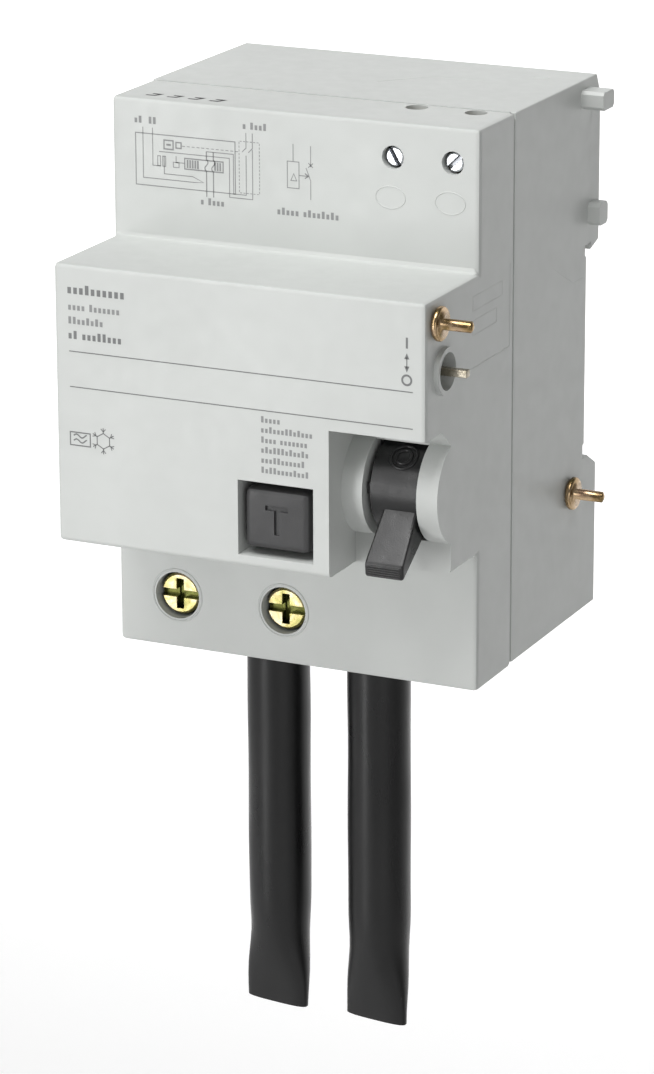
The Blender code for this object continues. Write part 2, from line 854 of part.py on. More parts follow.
def make_toggle():
    black = black_plastic()
    centre = (TOGGLE_Y, TOGGLE_Z)
    axle = (DRUM_LEFT_X, TOGGLE_Y, TOGGLE_Z)
    toggle = turned(
        "toggle",
        "X",
        centre,
        [(DRUM_LEFT_X, DRUM_RADIUS), (DRUM_RIGHT_X, DRUM_RADIUS)],
        black,
        48,
        origin=axle,
    )
    left = DRUM_LEFT_X + TONGUE_LEFT_GAP
    right = DRUM_RIGHT_X - TONGUE_RIGHT_GAP
    root = [(-0.0577, -0.0115), (-0.0548, -0.0164)]
    tip = [(-0.0637, -0.0215), (-0.0640, -0.0192)]
    made = bmesh.new()
    near = [made.verts.new((x, *p)) for x in (left, right) for p in root]
    buried = [made.verts.new((x, *centre)) for x in (left, right)]
    far = [
        made.verts.new((x, *p))
        for x in (left - TONGUE_TIP_WIDEN_LEFT, right + TONGUE_TIP_WIDEN_RIGHT)
        for p in tip
    ]
    left_side = [buried[0], near[0], far[1], far[0], near[1]]
    right_side = [buried[1], near[2], far[3], far[2], near[3]]
    made.faces.new(left_side)
    made.faces.new(reversed(right_side))
    for i in range(5):
        j = (i + 1) % 5
        made.faces.new((left_side[i], left_side[j], right_side[j], right_side[i]))
    tongue = add_object("tongue", made, black)
    round_edges(tongue, TONGUE_ROUND)
    shaft_way = bar_cutter(
        "toggle_bore",
        "X",
        centre,
        SHAFT_RADIUS + SHAFT_CLEARANCE,
        DRUM_LEFT_X - WALL,
        DRUM_RIGHT_X + WALL,
        16,
    )
    pocket = bar_cutter(
        "toggle_spring_pocket",
        "X",
        centre,
        SPRING_POCKET_RADIUS,
        DRUM_LEFT_X - WALL,
        DRUM_LEFT_X + SPRING_POCKET_DEPTH,
    )
    nub = box(
        "toggle_nub",
        (GUARD_LEFT_END_X + GAP, TOGGLE_Y - DRUM_RADIUS + 0.0004, TOGGLE_Z - 0.0002),
        (DRUM_LEFT_X + WALL, TOGGLE_Y - DRUM_RADIUS + 0.0018, TOGGLE_Z + 0.0016),
        black,
    )
    reset_finger = box(
        "reset_finger",
        (DRUM_RIGHT_X - 2 * WALL, TOGGLE_Y, TOGGLE_Z - WALL),
        (DRUM_RIGHT_X - GAP, TOGGLE_Y + DRUM_RADIUS + WALL, TOGGLE_Z + WALL / 3),
        black,
    )
    fuse(toggle, tongue, nub, reset_finger)
    cut(toggle, shaft_way, pocket)
    turned(
        "toggle_shaft",
        "X",
        centre,
        [
            (GUARD_LEFT_END_X - WALL, SHAFT_RADIUS),
            (INNER_X - GAP, SHAFT_RADIUS),
        ],
        bright_zinc(),
        16,
    )
    coil = coil_points(
        "X",
        centre,
        (SPRING_POCKET_RADIUS + SHAFT_RADIUS) / 2,
        DRUM_LEFT_X + 2 * GAP,
        DRUM_LEFT_X + SPRING_POCKET_DEPTH - 3 * GAP,
        3,
    )
    wire("toggle_spring", coil, 0.0003, bright_zinc(), 1)


# Test button

def button_middle():
    return (WINDOW_LEFT_X + WINDOW_WIDTH / 2, WINDOW_TOP_Z - WINDOW_HEIGHT / 2)


def make_test_button():
    black = black_plastic()
    x, z = button_middle()
    half_x = WINDOW_WIDTH / 2 - BUTTON_SIDE_GAP
    half_z = WINDOW_HEIGHT / 2 - BUTTON_END_GAP
    guide_z = WINDOW_HEIGHT / 2 - GAP
    face_y = NOSE_FRONT_Y + BUTTON_INSET
    sleeve_end = NOSE_FRONT_Y + WINDOW_SLEEVE
    button = box(
        "test_button",
        (x - half_x, face_y, z - half_z),
        (x + half_x, sleeve_end + GAP + BUTTON_FLANGE, z + half_z),
        black,
    )
    round_edges(button, BUTTON_ROUND)
    flange_x = min(WINDOW_WIDTH / 2 - GAP + BUTTON_FLANGE, RECESS_LEFT_X - WALL - GAP - x)
    flange = box(
        "button_flange",
        (x - flange_x, sleeve_end + GAP, z - guide_z),
        (x + flange_x, sleeve_end + GAP + BUTTON_FLANGE, z + guide_z + BUTTON_FLANGE),
        black,
    )
    stem_end = RETAINER_Y + RETAINER_THICKNESS + GAP
    stem = bar_cutter(
        "button_stem",
        "Y",
        (x, z),
        BUTTON_STEM_RADIUS,
        sleeve_end,
        stem_end,
        16,
    )
    stroke = 0.0008
    t_width, t_height, t_depth = 0.0038, 0.0046, 0.0004
    top_bar = box(
        "letter_bar",
        (x - t_width / 2, face_y - GAP, z + t_height / 2 - stroke),
        (x + t_width / 2, face_y + t_depth, z + t_height / 2),
        black,
    )
    stroke_down = box(
        "letter_stem",
        (x - stroke / 2, face_y - GAP, z - t_height / 2),
        (x + stroke / 2, face_y + t_depth, z + t_height / 2 - stroke / 2),
        black,
    )
    fuse(button, flange, stem)
    cut(button, top_bar, stroke_down)
    make_test_circuit(x, z, stem_end)


def make_test_circuit(x, z, stem_end):
    sleeve_end = NOSE_FRONT_Y + WINDOW_SLEEVE
    coil = coil_points(
        "Y",
        (x, z),
        BUTTON_STEM_RADIUS + 0.0011,
        sleeve_end + BUTTON_FLANGE + 2.5 * GAP,
        RETAINER_Y - 1.5 * GAP,
        5,
    )
    wire("test_button_spring", coil, 0.00025, bright_zinc(), 1)
    strip = 0.0004
    half_strip = 0.0015
    reach = 0.0048
    bridge_y = stem_end + GAP
    box(
        "test_contact_bridge",
        (x - reach, bridge_y, z - half_strip),
        (x + reach, bridge_y + strip, z + half_strip),
        brass(),
    )
    fixed_y = bridge_y + strip + BUTTON_TRAVEL + GAP
    for side, sign in zip(SIDE_NAMES, (-1, 1)):
        ends = sorted((x + sign * reach, x + sign * reach / 3))
        box(
            f"test_contact_{side}",
            (ends[0], fixed_y, z - half_strip),
            (ends[1], fixed_y + strip, z + 2 * half_strip),
            brass(),
        )
    make_contact_carrier(x, z, fixed_y + strip + GAP)
    turned(
        "test_resistor",
        "X",
        (fixed_y + 0.0016, WINDOW_TOP_Z + 0.0022),
        [(x - reach, 0.0014), (x - 0.0038, 0.0018), (x + 0.0038, 0.0018), (x + reach, 0.0014)],
        inner_plastic(),
        12,
    )


def make_contact_carrier(x, z, plate_y):
    """The bracket behind the button: a plate the stem runs through, a floor and a contact plate."""
    plastic = inner_plastic()
    low_x = WINDOW_LEFT_X - WALL
    high_x = RECESS_LEFT_X - WALL - GAP
    low_z = NOSE_FLOOR_Z + GAP
    carrier = box(
        "contact_carrier",
        (low_x, RETAINER_Y, low_z),
        (high_x, RETAINER_Y + RETAINER_THICKNESS, WINDOW_TOP_Z + WALL),
        plastic,
    )
    floor = box(
        "carrier_floor",
        (low_x, RETAINER_Y + RETAINER_THICKNESS / 2, low_z),
        (high_x, plate_y + RETAINER_THICKNESS / 2, low_z + RETAINER_THICKNESS),
        plastic,
    )
    plate = box(
        "carrier_plate",
        (low_x, plate_y, low_z),
        (high_x, plate_y + RETAINER_THICKNESS, WINDOW_TOP_Z - WALL / 2),
        plastic,
    )
    stem_way = bar_cutter(
        "carrier_hole",
        "Y",
        (x, z),
        BUTTON_STEM_RADIUS + 2 * GAP,
        RETAINER_Y - WALL,
        RETAINER_Y + RETAINER_THICKNESS + GAP,
        16,
    )
    fuse(carrier, floor, plate)
    cut(carrier, stem_way)


# Coupling pins and trip lever

def make_coupling_pin(name, centre):
    """A flanged pin riveted through the right wall."""
    outside = HALF_WIDTH + GAP
    inside = INNER_X - GAP
    flange_end = outside + FLANGE_THICKNESS
    tip = flange_end + PIN_LENGTH
    edge = FLANGE_THICKNESS / 4
    profile = [
        (inside - FLANGE_THICKNESS, RIVET_RADIUS),
        (inside, RIVET_RADIUS),
        (inside, PIN_RADIUS),
        (outside, PIN_RADIUS),
        (outside, FLANGE_RADIUS - edge),
        (outside + edge, FLANGE_RADIUS),
        (flange_end - edge, FLANGE_RADIUS),
        (flange_end, FLANGE_RADIUS - edge),
        (flange_end, PIN_RADIUS),
        (tip - edge, PIN_RADIUS),
        (tip, PIN_RADIUS / 2),
    ]
    turned(name, "X", centre, profile, gold_chromate(), 28)


def make_trip_lever():
    plastic = inner_plastic()
    y, z = LEVER_AXIS
    hub_left = RELAY_HIGH[0] - 0.006
    hub_right = INNER_X - 3 * GAP - WALL
    pin_y, pin_z = BOSS_CENTRE
    lever = turned(
        "trip_lever",
        "X",
        LEVER_AXIS,
        [(hub_left, LEVER_HUB_RADIUS), (hub_right, LEVER_HUB_RADIUS)],
        plastic,
        20,
        origin=(0.0, y, z),
    )
    half = LEVER_ARM_HEIGHT / 2
    pin_arm = box(
        "pin_arm",
        (hub_right - 0.0022, pin_y - 0.0016, pin_z - half),
        (hub_right, y, pin_z + half),
        plastic,
    )
    relay_arm = box(
        "relay_arm",
        (hub_left, y - 0.0105, z - half),
        (hub_left + 0.0032, y, z + half),
        plastic,
    )
    bore = bar_cutter(
        "lever_bore",
        "X",
        LEVER_AXIS,
        LEVER_SHAFT_RADIUS + SHAFT_CLEARANCE,
        hub_left - WALL,
        hub_right + WALL,
        16,
    )
    fuse(lever, pin_arm, relay_arm)
    cut(lever, bore)
    half_pin = TRIP_PIN_SIDE / 2
    box(
        "trip_pin",
        (hub_right + GAP, pin_y - half_pin, pin_z - half_pin),
        (TRIP_PIN_TIP_X, pin_y + half_pin, pin_z + half_pin),
        bright_zinc(),
    )
    turned(
        "trip_shaft",
        "X",
        LEVER_AXIS,
        [(-INNER_X + GAP, LEVER_SHAFT_RADIUS), (INNER_X - GAP, LEVER_SHAFT_RADIUS)],
        bright_zinc(),
        16,
    )
    coil = coil_points(
        "X", LEVER_AXIS, LEVER_SHAFT_RADIUS + 0.0010, hub_left - 0.0055, hub_left - 0.0010, 5
    )
    wire("trip_lever_spring", coil, 0.00025, bright_zinc(), 1)
    return hub_left


# Trip relay

def make_trip_relay(arm_left):
    low, high = Vector(RELAY_LOW), Vector(RELAY_HIGH)
    plastic = inner_plastic()
    wall = RELAY_WALL
    case = box("relay_case", low, high, plastic)
    inside = box(
        "relay_case_inside",
        low + Vector((wall, wall, wall)),
        high + Vector((-wall, -wall, wall)),
        plastic,
    )
    cut(case, inside)
    cover = box(
        "relay_cover",
        (low.x, low.y, high.z + GAP),
        (high.x, high.y, high.z + GAP + wall),
        plastic,
    )
    plunger_at = (arm_left + 0.0016, LEVER_AXIS[0] - PLUNGER_REACH)
    cover_hole = bar_cutter(
        "plunger_hole",
        "Z",
        plunger_at,
        PLUNGER_RADIUS + SHAFT_CLEARANCE,
        high.z - wall,
        high.z + 3 * wall,
        16,
    )
    cut(cover, cover_hole)
    arm_bottom = LEVER_AXIS[1] - LEVER_ARM_HEIGHT / 2
    armature_top = high.z - 0.0030
    turned(
        "relay_plunger",
        "Z",
        plunger_at,
        [
            (armature_top + GAP, 0.0014),
            (armature_top + 2.5 * GAP, 0.0014),
            (armature_top + 2.5 * GAP, PLUNGER_RADIUS),
            (arm_bottom - GAP, PLUNGER_RADIUS),
        ],
        plastic,
        12,
    )
    make_relay_magnet_system(low, high, armature_top)


def make_relay_magnet_system(low, high, armature_top):
    """The iron yoke with its coil, the magnet under it and the armature across its two poles."""
    wall = RELAY_WALL
    iron = soft_iron()
    thickness = 0.002
    floor = low.z + wall + GAP + 0.0024
    back = high.y - wall - 4 * GAP
    front = low.y + wall + 4 * GAP
    left = low.x + wall + 6 * GAP
    right = high.x - wall - 6 * GAP
    pole_top = armature_top - 0.0014 - GAP
    outline = [
        (left, floor),
        (right, floor),
        (right, pole_top),
        (right - thickness, pole_top),
        (right - thickness, floor + thickness),
        (left + thickness, floor + thickness),
        (left + thickness, pole_top),
        (left, pole_top),
    ]
    middle_y = (front + back) / 2
    prism("relay_yoke", outline, "Y", middle_y - 0.0025, middle_y + 0.0025, iron)
    box(
        "relay_magnet",
        (left, middle_y - 0.0025, low.z + wall + GAP),
        (right, middle_y + 0.0025, floor - GAP),
        magnet_black(),
    )
    coil_low = floor + thickness + 4 * GAP
    coil_high = pole_top - 5 * GAP
    hole = 0.0029
    bobbin_x = right - thickness / 2
    bobbin = box(
        "relay_bobbin",
        (bobbin_x - hole, middle_y - 0.0036, coil_low),
        (min(bobbin_x + hole, high.x - wall - GAP), middle_y + 0.0036, coil_high),
        black_plastic(),
    )
    pole_way = box(
        "bobbin_hole",
        (right - thickness - GAP, middle_y - 0.0028, coil_low - wall),
        (right + GAP, middle_y + 0.0028, coil_high + wall),
        black_plastic(),
    )
    cut(bobbin, pole_way)
    winding_x = left + thickness / 2
    winding = turned(
        "relay_coil",
        "Z",
        (winding_x + 0.0036, middle_y),
        [(coil_low, 0.0042), (coil_high, 0.0042)],
        copper(),
        24,
    )
    winding_hole = box(
        "coil_hole",
        (left - wall, middle_y - 0.0028, coil_low - wall),
        (left + thickness + GAP, middle_y + 0.0028, coil_high + wall),
        copper(),
    )
    cut(winding, winding_hole)
    hinge = (left, middle_y, armature_top - 0.0014)
    box(
        "relay_armature",
        (left, middle_y - 0.0025, armature_top - 0.0014),
        (right, middle_y + 0.0025, armature_top),
        iron,
        origin=hinge,
    )
    coil = coil_points(
        "Z", (left + 0.0087, front + 0.0010), 0.0007, coil_low, armature_top - 0.0020, 6
    )
    wire("relay_spring", coil, 0.00018, bright_zinc(), 1)


# Terminals

def cross_recess(side, x):
    """A slot across the screw head with a shorter and deeper cross slot."""
    front_y = SCREW_HEAD_FRONT_Y
    half_width = SCREW_SLOT_WIDTH / 2
    slot = box(
        f"screw_{side}_slot",
        (x - 1.1 * SCREW_HEAD_RADIUS, front_y - GAP, TERMINAL_Z - half_width),
        (x + 1.1 * SCREW_HEAD_RADIUS, front_y + SCREW_SLOT_DEPTH, TERMINAL_Z + half_width),
        gold_chromate(),
    )
    cross = box(
        f"screw_{side}_cross",
        (x - half_width, front_y - GAP, TERMINAL_Z - SCREW_CROSS_LENGTH / 2),
        (x + half_width, front_y + 1.3 * SCREW_SLOT_DEPTH, TERMINAL_Z + SCREW_CROSS_LENGTH / 2),
        gold_chromate(),
    )
    return slot, cross


def make_main_terminal(side, x):
    front = SCREW_HEAD_FRONT_Y
    neck = front + SCREW_HEAD_HEIGHT
    edge = SCREW_HEAD_HEIGHT / 6
    axle = (x, front, TERMINAL_Z)
    screw = turned(
        f"terminal_screw_{side}",
        "Y",
        (x, TERMINAL_Z),
        [
            (front, SCREW_HEAD_RADIUS - edge),
            (front + edge, SCREW_HEAD_RADIUS),
            (neck, SCREW_HEAD_RADIUS),
            (neck, SCREW_SHANK_RADIUS),
            (SCREW_TIP_Y - edge, SCREW_SHANK_RADIUS),
            (SCREW_TIP_Y, SCREW_SHANK_RADIUS - edge),
        ],
        gold_chromate(),
        36,
        origin=axle,
    )
    cut(screw, *cross_recess(side, x))
    busbar_front = SCREW_TIP_Y + GAP
    busbar_back = busbar_front + BUSBAR_THICKNESS
    cage_low_z = BASE_BOTTOM_Z + WALL + GAP
    box(
        f"terminal_busbar_{side}",
        (x - BUSBAR_WIDTH / 2, busbar_front, cage_low_z),
        (x + BUSBAR_WIDTH / 2, busbar_back, BUSBAR_TOP_Z),
        copper(),
    )
    inner_front = busbar_front - 4 * GAP
    inner_back = busbar_back + WIRE_SPACE
    half = CAGE_INNER_WIDTH / 2
    cage = box(
        f"terminal_cage_{side}",
        (x - half - CAGE_PLATE, inner_front - CAGE_PLATE, cage_low_z),
        (x + half + CAGE_PLATE, inner_back + CAGE_PLATE, cage_low_z + CAGE_HEIGHT),
        bright_zinc(),
    )
    opening = box(
        f"cage_opening_{side}",
        (x - half, inner_front, cage_low_z - WALL),
        (x + half, inner_back, cage_low_z + CAGE_HEIGHT + WALL),
        bright_zinc(),
    )
    thread = bar_cutter(
        f"cage_thread_{side}",
        "Y",
        (x, TERMINAL_Z),
        SCREW_SHANK_RADIUS + SHAFT_CLEARANCE,
        inner_front - 2 * CAGE_PLATE,
        inner_front + CAGE_PLATE,
    )
    cut(cage, opening, thread)


def make_aux_terminal(number, x):
    front = AUX_HEAD_FRONT_Y
    neck = front + AUX_HEAD_RADIUS
    tip = AUX_ENTRY_Y - AUX_SHANK_RADIUS
    edge = AUX_HEAD_RADIUS / 6
    screw = turned(
        f"aux_screw_{number}",
        "Y",
        (x, AUX_Z),
        [
            (front, AUX_HEAD_RADIUS - edge),
            (front + edge, AUX_HEAD_RADIUS),
            (neck, AUX_HEAD_RADIUS),
            (neck, AUX_SHANK_RADIUS),
            (tip, AUX_SHANK_RADIUS),
        ],
        bright_zinc(),
        20,
        origin=(x, front, AUX_Z),
    )
    slot = box(
        f"aux_slot_{number}",
        (x - 2 * AUX_HEAD_RADIUS, front - GAP, AUX_Z - AUX_SLOT_WIDTH / 2),
        (x + 2 * AUX_HEAD_RADIUS, front + AUX_SLOT_DEPTH, AUX_Z + AUX_SLOT_WIDTH / 2),
        bright_zinc(),
    )
    axle = Matrix.Translation((x, front, AUX_Z))
    turn = Matrix.Rotation(math.radians(AUX_SLOT_TURNS[number - 1]), 4, "Y")
    slot.matrix_world = axle @ turn @ axle.inverted()
    cut(screw, slot)
    half = AUX_BLOCK_WIDTH / 2
    top = BASE_TOP_Z - WALL - GAP
    block_front = neck + WALL
    block = box(
        f"aux_terminal_{number}",
        (x - half, block_front, AUX_Z - half),
        (x + half, AUX_ENTRY_Y + AUX_ENTRY_RADIUS + 2 * GAP, top),
        brass(),
    )
    screw_way = bar_cutter(
        f"aux_thread_{number}",
        "Y",
        (x, AUX_Z),
        AUX_SHANK_RADIUS + SHAFT_CLEARANCE,
        block_front - WALL,
        AUX_ENTRY_Y + GAP,
        16,
    )
    wire_way = bar_cutter(
        f"aux_wire_way_{number}",
        "Z",
        (x + AUX_ENTRY_SHIFT, AUX_ENTRY_Y),
        AUX_ENTRY_RADIUS - GAP,
        AUX_Z - 2 * half,
        top + WALL,
        16,
    )
    cut(block, screw_way, wire_way)


# Summation transformer and leads

CABLE_DROP = (
    (0.0, 0.0, -0.0380),
    (0.0, 0.0, -0.0520),
    (0.0001, -0.0001, -0.0680),
    (0.0002, -0.0003, -0.0840),
    (0.0003, -0.0004, -0.1000),
    (0.0003, -0.0004, -0.1150),
)


def make_transformer():
    x, y, z = CORE_CENTRE
    half = CORE_HEIGHT / 2
    ring_solid(
        "transformer_core", (x, y), CORE_BORE_RADIUS, CORE_OUTER_RADIUS, z - half, z + half, soft_iron()
    )
    near = GAP + WINDING_THICKNESS
    winding = ring_solid(
        "secondary_winding",
        (x, y),
        CORE_BORE_RADIUS - near,
        CORE_OUTER_RADIUS + near,
        z - half - near,
        z + half + near,
        copper(),
        12,
        (40, 140),
    )
    inside = ring_solid(
        "winding_inside",
        (x, y),
        CORE_BORE_RADIUS - GAP,
        CORE_OUTER_RADIUS + GAP,
        z - half - GAP,
        z + half + GAP,
        copper(),
        14,
        (30, 150),
    )
    cut(winding, inside)
    plate_top = z - half - near - GAP
    plate_low = plate_top - WALL
    reach = CORE_OUTER_RADIUS + 2 * WALL
    back = -WALL - GAP
    outline_low = (x - reach, y - CORE_OUTER_RADIUS, plate_low)
    cradle = box("transformer_cradle", outline_low, (x + reach, back, plate_top), inner_plastic())
    for side, sign in zip(SIDE_NAMES, (-1, 1)):
        edges = sorted((x + sign * reach, x + sign * (CORE_OUTER_RADIUS + WALL)))
        upright = box(
            f"cradle_upright_{side}",
            (edges[0], y - CORE_BORE_RADIUS, plate_low + WALL / 2),
            (edges[1], back, z + half),
            inner_plastic(),
        )
        fuse(cradle, upright)
    hole = bar_cutter(
        "cradle_hole", "Z", (x, y), CORE_BORE_RADIUS, plate_low - WALL, plate_top + WALL
    )
    cut(cradle, hole)


def conductor_route(x_cable, x_core, x_terminal):
    """From the lead up through the core, over it and down to the terminal's busbar."""
    core_y = CORE_CENTRE[1]
    over_z = CORE_CENTRE[2] + CORE_HEIGHT / 2
    down_y = core_y - CORE_OUTER_RADIUS - CONDUCTOR_RADIUS - 0.003
    bar_y = SCREW_TIP_Y + GAP + BUSBAR_THICKNESS / 2
    return [
        (x_cable, CABLE_Y, CABLE_TOP_Z + GAP),
        (x_cable, CABLE_Y, CABLE_TOP_Z + 0.007),
        ((x_cable + x_core) / 2, (CABLE_Y + core_y) / 2, -0.0210),
        (x_core, core_y, -0.0100),
        (x_core, core_y, over_z),
        ((3 * x_core + x_terminal) / 4, core_y - 0.0035, over_z + 0.0080),
        ((x_core + x_terminal) / 2, (core_y + down_y) / 2, over_z + 0.0105),
        ((x_core + 3 * x_terminal) / 4, down_y + 0.0035, over_z + 0.0080),
        (x_terminal, down_y, over_z),
        (x_terminal, down_y, -0.0080),
        (x_terminal, (down_y + bar_y) / 2, -0.0160),
        (x_terminal, bar_y, BUSBAR_TOP_Z + GAP),
    ]


def make_leads():
    for i, side in enumerate(SIDE_NAMES):
        x_cable = CABLE_XS[i]
        x_core = CORE_CENTRE[0] + (i - 0.5) * CONDUCTOR_PITCH
        route = conductor_route(x_cable, x_core, TERMINAL_XS[i])
        wire(f"primary_conductor_{side}", smooth_route(route, 2), CONDUCTOR_RADIUS, copper(), 2)
        drop = [(x_cable + dx, CABLE_Y + dy, z) for dx, dy, z in CABLE_DROP]
        wire(f"load_cable_{side}", smooth_route(drop, 1), CABLE_RADIUS, cable_black(), 4)


# Circuit board

def make_circuit_board():
    y = SHOULDER_FRONT_Y + WALL + GAP
    thickness = 0.0014
    low_z = 0.0285
    high_z = BASE_TOP_Z - WALL - 2 * GAP
    box("circuit_board", (-0.027, y, low_z), (0.010, y + thickness, high_z), board_green())
    back = y + thickness + GAP
    turned(
        "filter_capacitor",
        "Y",
        (-0.018, 0.0355),
        [(back, 0.0040), (back + 0.0090, 0.0040), (back + 0.0095, 0.0035)],
        magnet_black(),
        20,
    )
    box(
        "surge_suppressor",
        (-0.006, back, 0.0320),
        (0.004, back + 0.0040, 0.0400),
        material("suppressor_blue", (0.05, 0.12, 0.35), 0.45),
    )


def main():
    for old in list(bpy.data.objects):
        bpy.data.objects.remove(old, do_unlink=True)
    make_front_cover()
    make_rear_base()
    make_rail_slider()
    make_toggle()
    make_test_button()
    make_coupling_pin("coupling_pin_front", FRONT_PIN)
    make_coupling_pin("coupling_pin_rear", REAR_PIN)
    make_trip_relay(make_trip_lever())
    for side, x in zip(SIDE_NAMES, TERMINAL_XS):
        make_main_terminal(side, x)
    for number, x in enumerate(AUX_XS, 1):
        make_aux_terminal(number, x)
    make_transformer()
    make_leads()
    make_circuit_board()


main()
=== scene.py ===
"""The looks of a residual current unit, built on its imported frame."""

import math
import random

import bpy
import bmesh
from mathutils import Matrix, Vector


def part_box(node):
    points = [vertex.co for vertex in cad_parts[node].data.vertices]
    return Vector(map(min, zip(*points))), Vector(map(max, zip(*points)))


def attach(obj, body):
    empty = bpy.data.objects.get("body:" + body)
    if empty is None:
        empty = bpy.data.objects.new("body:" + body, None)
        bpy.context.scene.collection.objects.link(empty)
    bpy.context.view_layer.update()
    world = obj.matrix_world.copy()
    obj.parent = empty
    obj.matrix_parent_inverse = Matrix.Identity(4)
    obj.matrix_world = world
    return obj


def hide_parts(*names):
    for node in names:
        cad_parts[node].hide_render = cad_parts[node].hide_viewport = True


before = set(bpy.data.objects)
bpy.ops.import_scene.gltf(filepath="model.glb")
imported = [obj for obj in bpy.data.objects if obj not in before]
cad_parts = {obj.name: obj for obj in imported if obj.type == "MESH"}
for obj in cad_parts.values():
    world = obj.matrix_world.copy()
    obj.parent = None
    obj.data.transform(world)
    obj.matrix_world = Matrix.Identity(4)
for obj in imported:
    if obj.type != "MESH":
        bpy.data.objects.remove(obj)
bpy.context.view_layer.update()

MM = 0.001
NOSE_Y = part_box("front_cover")[0].y
SHOULDER_Y = -44 * MM
SIDE_X = 31.5 * MM
TOGGLE_AXLE = Vector((0.0, -51.2 * MM, -9.8 * MM))
DRUM_RADIUS = 7.4 * MM
LEAD_RADIUS = 5.3 * MM
LEAD_XS = {"left": -17.1 * MM, "right": 1.4 * MM}
LEAD_Y = -15 * MM
LEAD_END_Z = -115 * MM
LEAD_DRIFT = (
    (0.0, 0.0, -38),
    (0.0, 0.0, -52),
    (0.1, -0.1, -68),
    (0.2, -0.3, -84),
    (0.3, -0.4, -100),
    (0.3, -0.4, -115),
)
DRUM_RINGS_X = 24.4
DRUM_RINGS_ANGLE = 50
TIP_RIDGE_COUNT = 5
TIP_RIDGE_ENDS = (21.8, 27.25)
PRESSED_LENGTH = 14 * MM
PRESSED_SHIFT = Vector((0.3 * MM, -1.8 * MM, -1.0 * MM))
CUT_SLANT = -0.35 * MM
FLOOR_Z = -350 * MM


# Materials


class Finish:
    """A node material on one Principled shader, with helpers for its textures."""

    def __init__(self, name, colour, roughness, metallic=0.0):
        self.material = bpy.data.materials.new(name)
        self.material.use_nodes = True
        self.nodes = self.material.node_tree.nodes
        self.links = self.material.node_tree.links
        self.shader = self.nodes["Principled BSDF"]
        self.set("Base Color", (*colour, 1.0))
        self.set("Roughness", roughness)
        self.set("Metallic", metallic)
        self.place = self.nodes.new("ShaderNodeTexCoord").outputs["Object"]
        self.normal = None

    def set(self, socket, value):
        self.shader.inputs[socket].default_value = value

    def stretched(self, scale):
        mapping = self.nodes.new("ShaderNodeMapping")
        mapping.inputs["Scale"].default_value = scale
        self.links.new(self.place, mapping.inputs["Vector"])
        return mapping.outputs["Vector"]

    def darkened(self, depth, colour):
        """Lets the base colour fall to another as a place-based value rises."""
        mix = self.nodes.new("ShaderNodeMix")
        mix.data_type = "RGBA"
        before = self.shader.inputs["Base Color"].links[0].from_socket
        self.links.new(depth, mix.inputs[0])
        self.links.new(before, mix.inputs[6])
        mix.inputs[7].default_value = (*colour, 1.0)
        self.links.new(mix.outputs[2], self.shader.inputs["Base Color"])

    def noise(self, scale, detail=2.0, distortion=0.0, stretch=None):
        texture = self.nodes.new("ShaderNodeTexNoise")
        texture.inputs["Scale"].default_value = scale
        texture.inputs["Detail"].default_value = detail
        texture.inputs["Distortion"].default_value = distortion
        place = self.stretched(stretch) if stretch else self.place
        self.links.new(place, texture.inputs["Vector"])
        return texture.outputs[0]

    def ramp_along(self, axis, start, end, height=1.0):
        """A value that rises from nothing to a height between two places along an axis."""
        parts = self.nodes.new("ShaderNodeSeparateXYZ")
        self.links.new(self.place, parts.inputs[0])
        spread = self.nodes.new("ShaderNodeMapRange")
        spread.inputs["From Min"].default_value = start
        spread.inputs["From Max"].default_value = end
        spread.inputs["To Max"].default_value = height
        self.links.new(parts.outputs[axis], spread.inputs["Value"])
        return spread.outputs["Result"]

    def bands(self, direction, scale, distortion):
        texture = self.nodes.new("ShaderNodeTexWave")
        texture.bands_direction = direction
        texture.inputs["Scale"].default_value = scale
        texture.inputs["Distortion"].default_value = distortion
        self.links.new(self.place, texture.inputs["Vector"])
        return texture.outputs["Fac"]

    def colours(self, factor, *stops):
        ramp = self.nodes.new("ShaderNodeValToRGB")
        points = ramp.color_ramp.elements
        while len(points) < len(stops):
            points.new(0.5)
        for point, (position, colour) in zip(points, stops):
            point.position = position
            point.color = (*colour, 1.0)
        self.links.new(factor, ramp.inputs["Fac"])
        self.links.new(ramp.outputs["Color"], self.shader.inputs["Base Color"])

    def rough_between(self, factor, low, high):
        spread = self.nodes.new("ShaderNodeMapRange")
        spread.inputs["From Min"].default_value = 0.3
        spread.inputs["From Max"].default_value = 0.7
        spread.inputs["To Min"].default_value = low
        spread.inputs["To Max"].default_value = high
        self.links.new(factor, spread.inputs["Value"])
        self.links.new(spread.outputs["Result"], self.shader.inputs["Roughness"])

    def bump(self, height, depth, strength=1.0):
        bump = self.nodes.new("ShaderNodeBump")
        bump.inputs["Strength"].default_value = strength
        bump.inputs["Distance"].default_value = depth
        self.links.new(height, bump.inputs["Height"])
        if self.normal:
            self.links.new(self.normal, bump.inputs["Normal"])
        self.normal = bump.outputs["Normal"]
        self.links.new(self.normal, self.shader.inputs["Normal"])


def tint(colour, factor):
    return tuple(min(1.0, channel * factor) for channel in colour)


def moulded(name, colour, roughness, grain=2600, depth=0.012 * MM, mottle=0.03):
    """A moulded plastic: a fine spark-eroded grain, a slight waviness and a faint mottle."""
    made = Finish(name, colour, roughness)
    made.colours(
        made.noise(55, 4, 0.4),
        (0.30, tint(colour, 1 - mottle)),
        (0.55, colour),
        (0.75, tint(colour, 1 + mottle)),
    )
    made.rough_between(made.noise(420, 4), roughness - 0.05, roughness + 0.07)
    made.bump(made.noise(90, 1), 0.05 * MM, 0.35)
    made.bump(made.noise(grain, 3), depth, 0.6)
    made.set("IOR", 1.5)
    return made.material


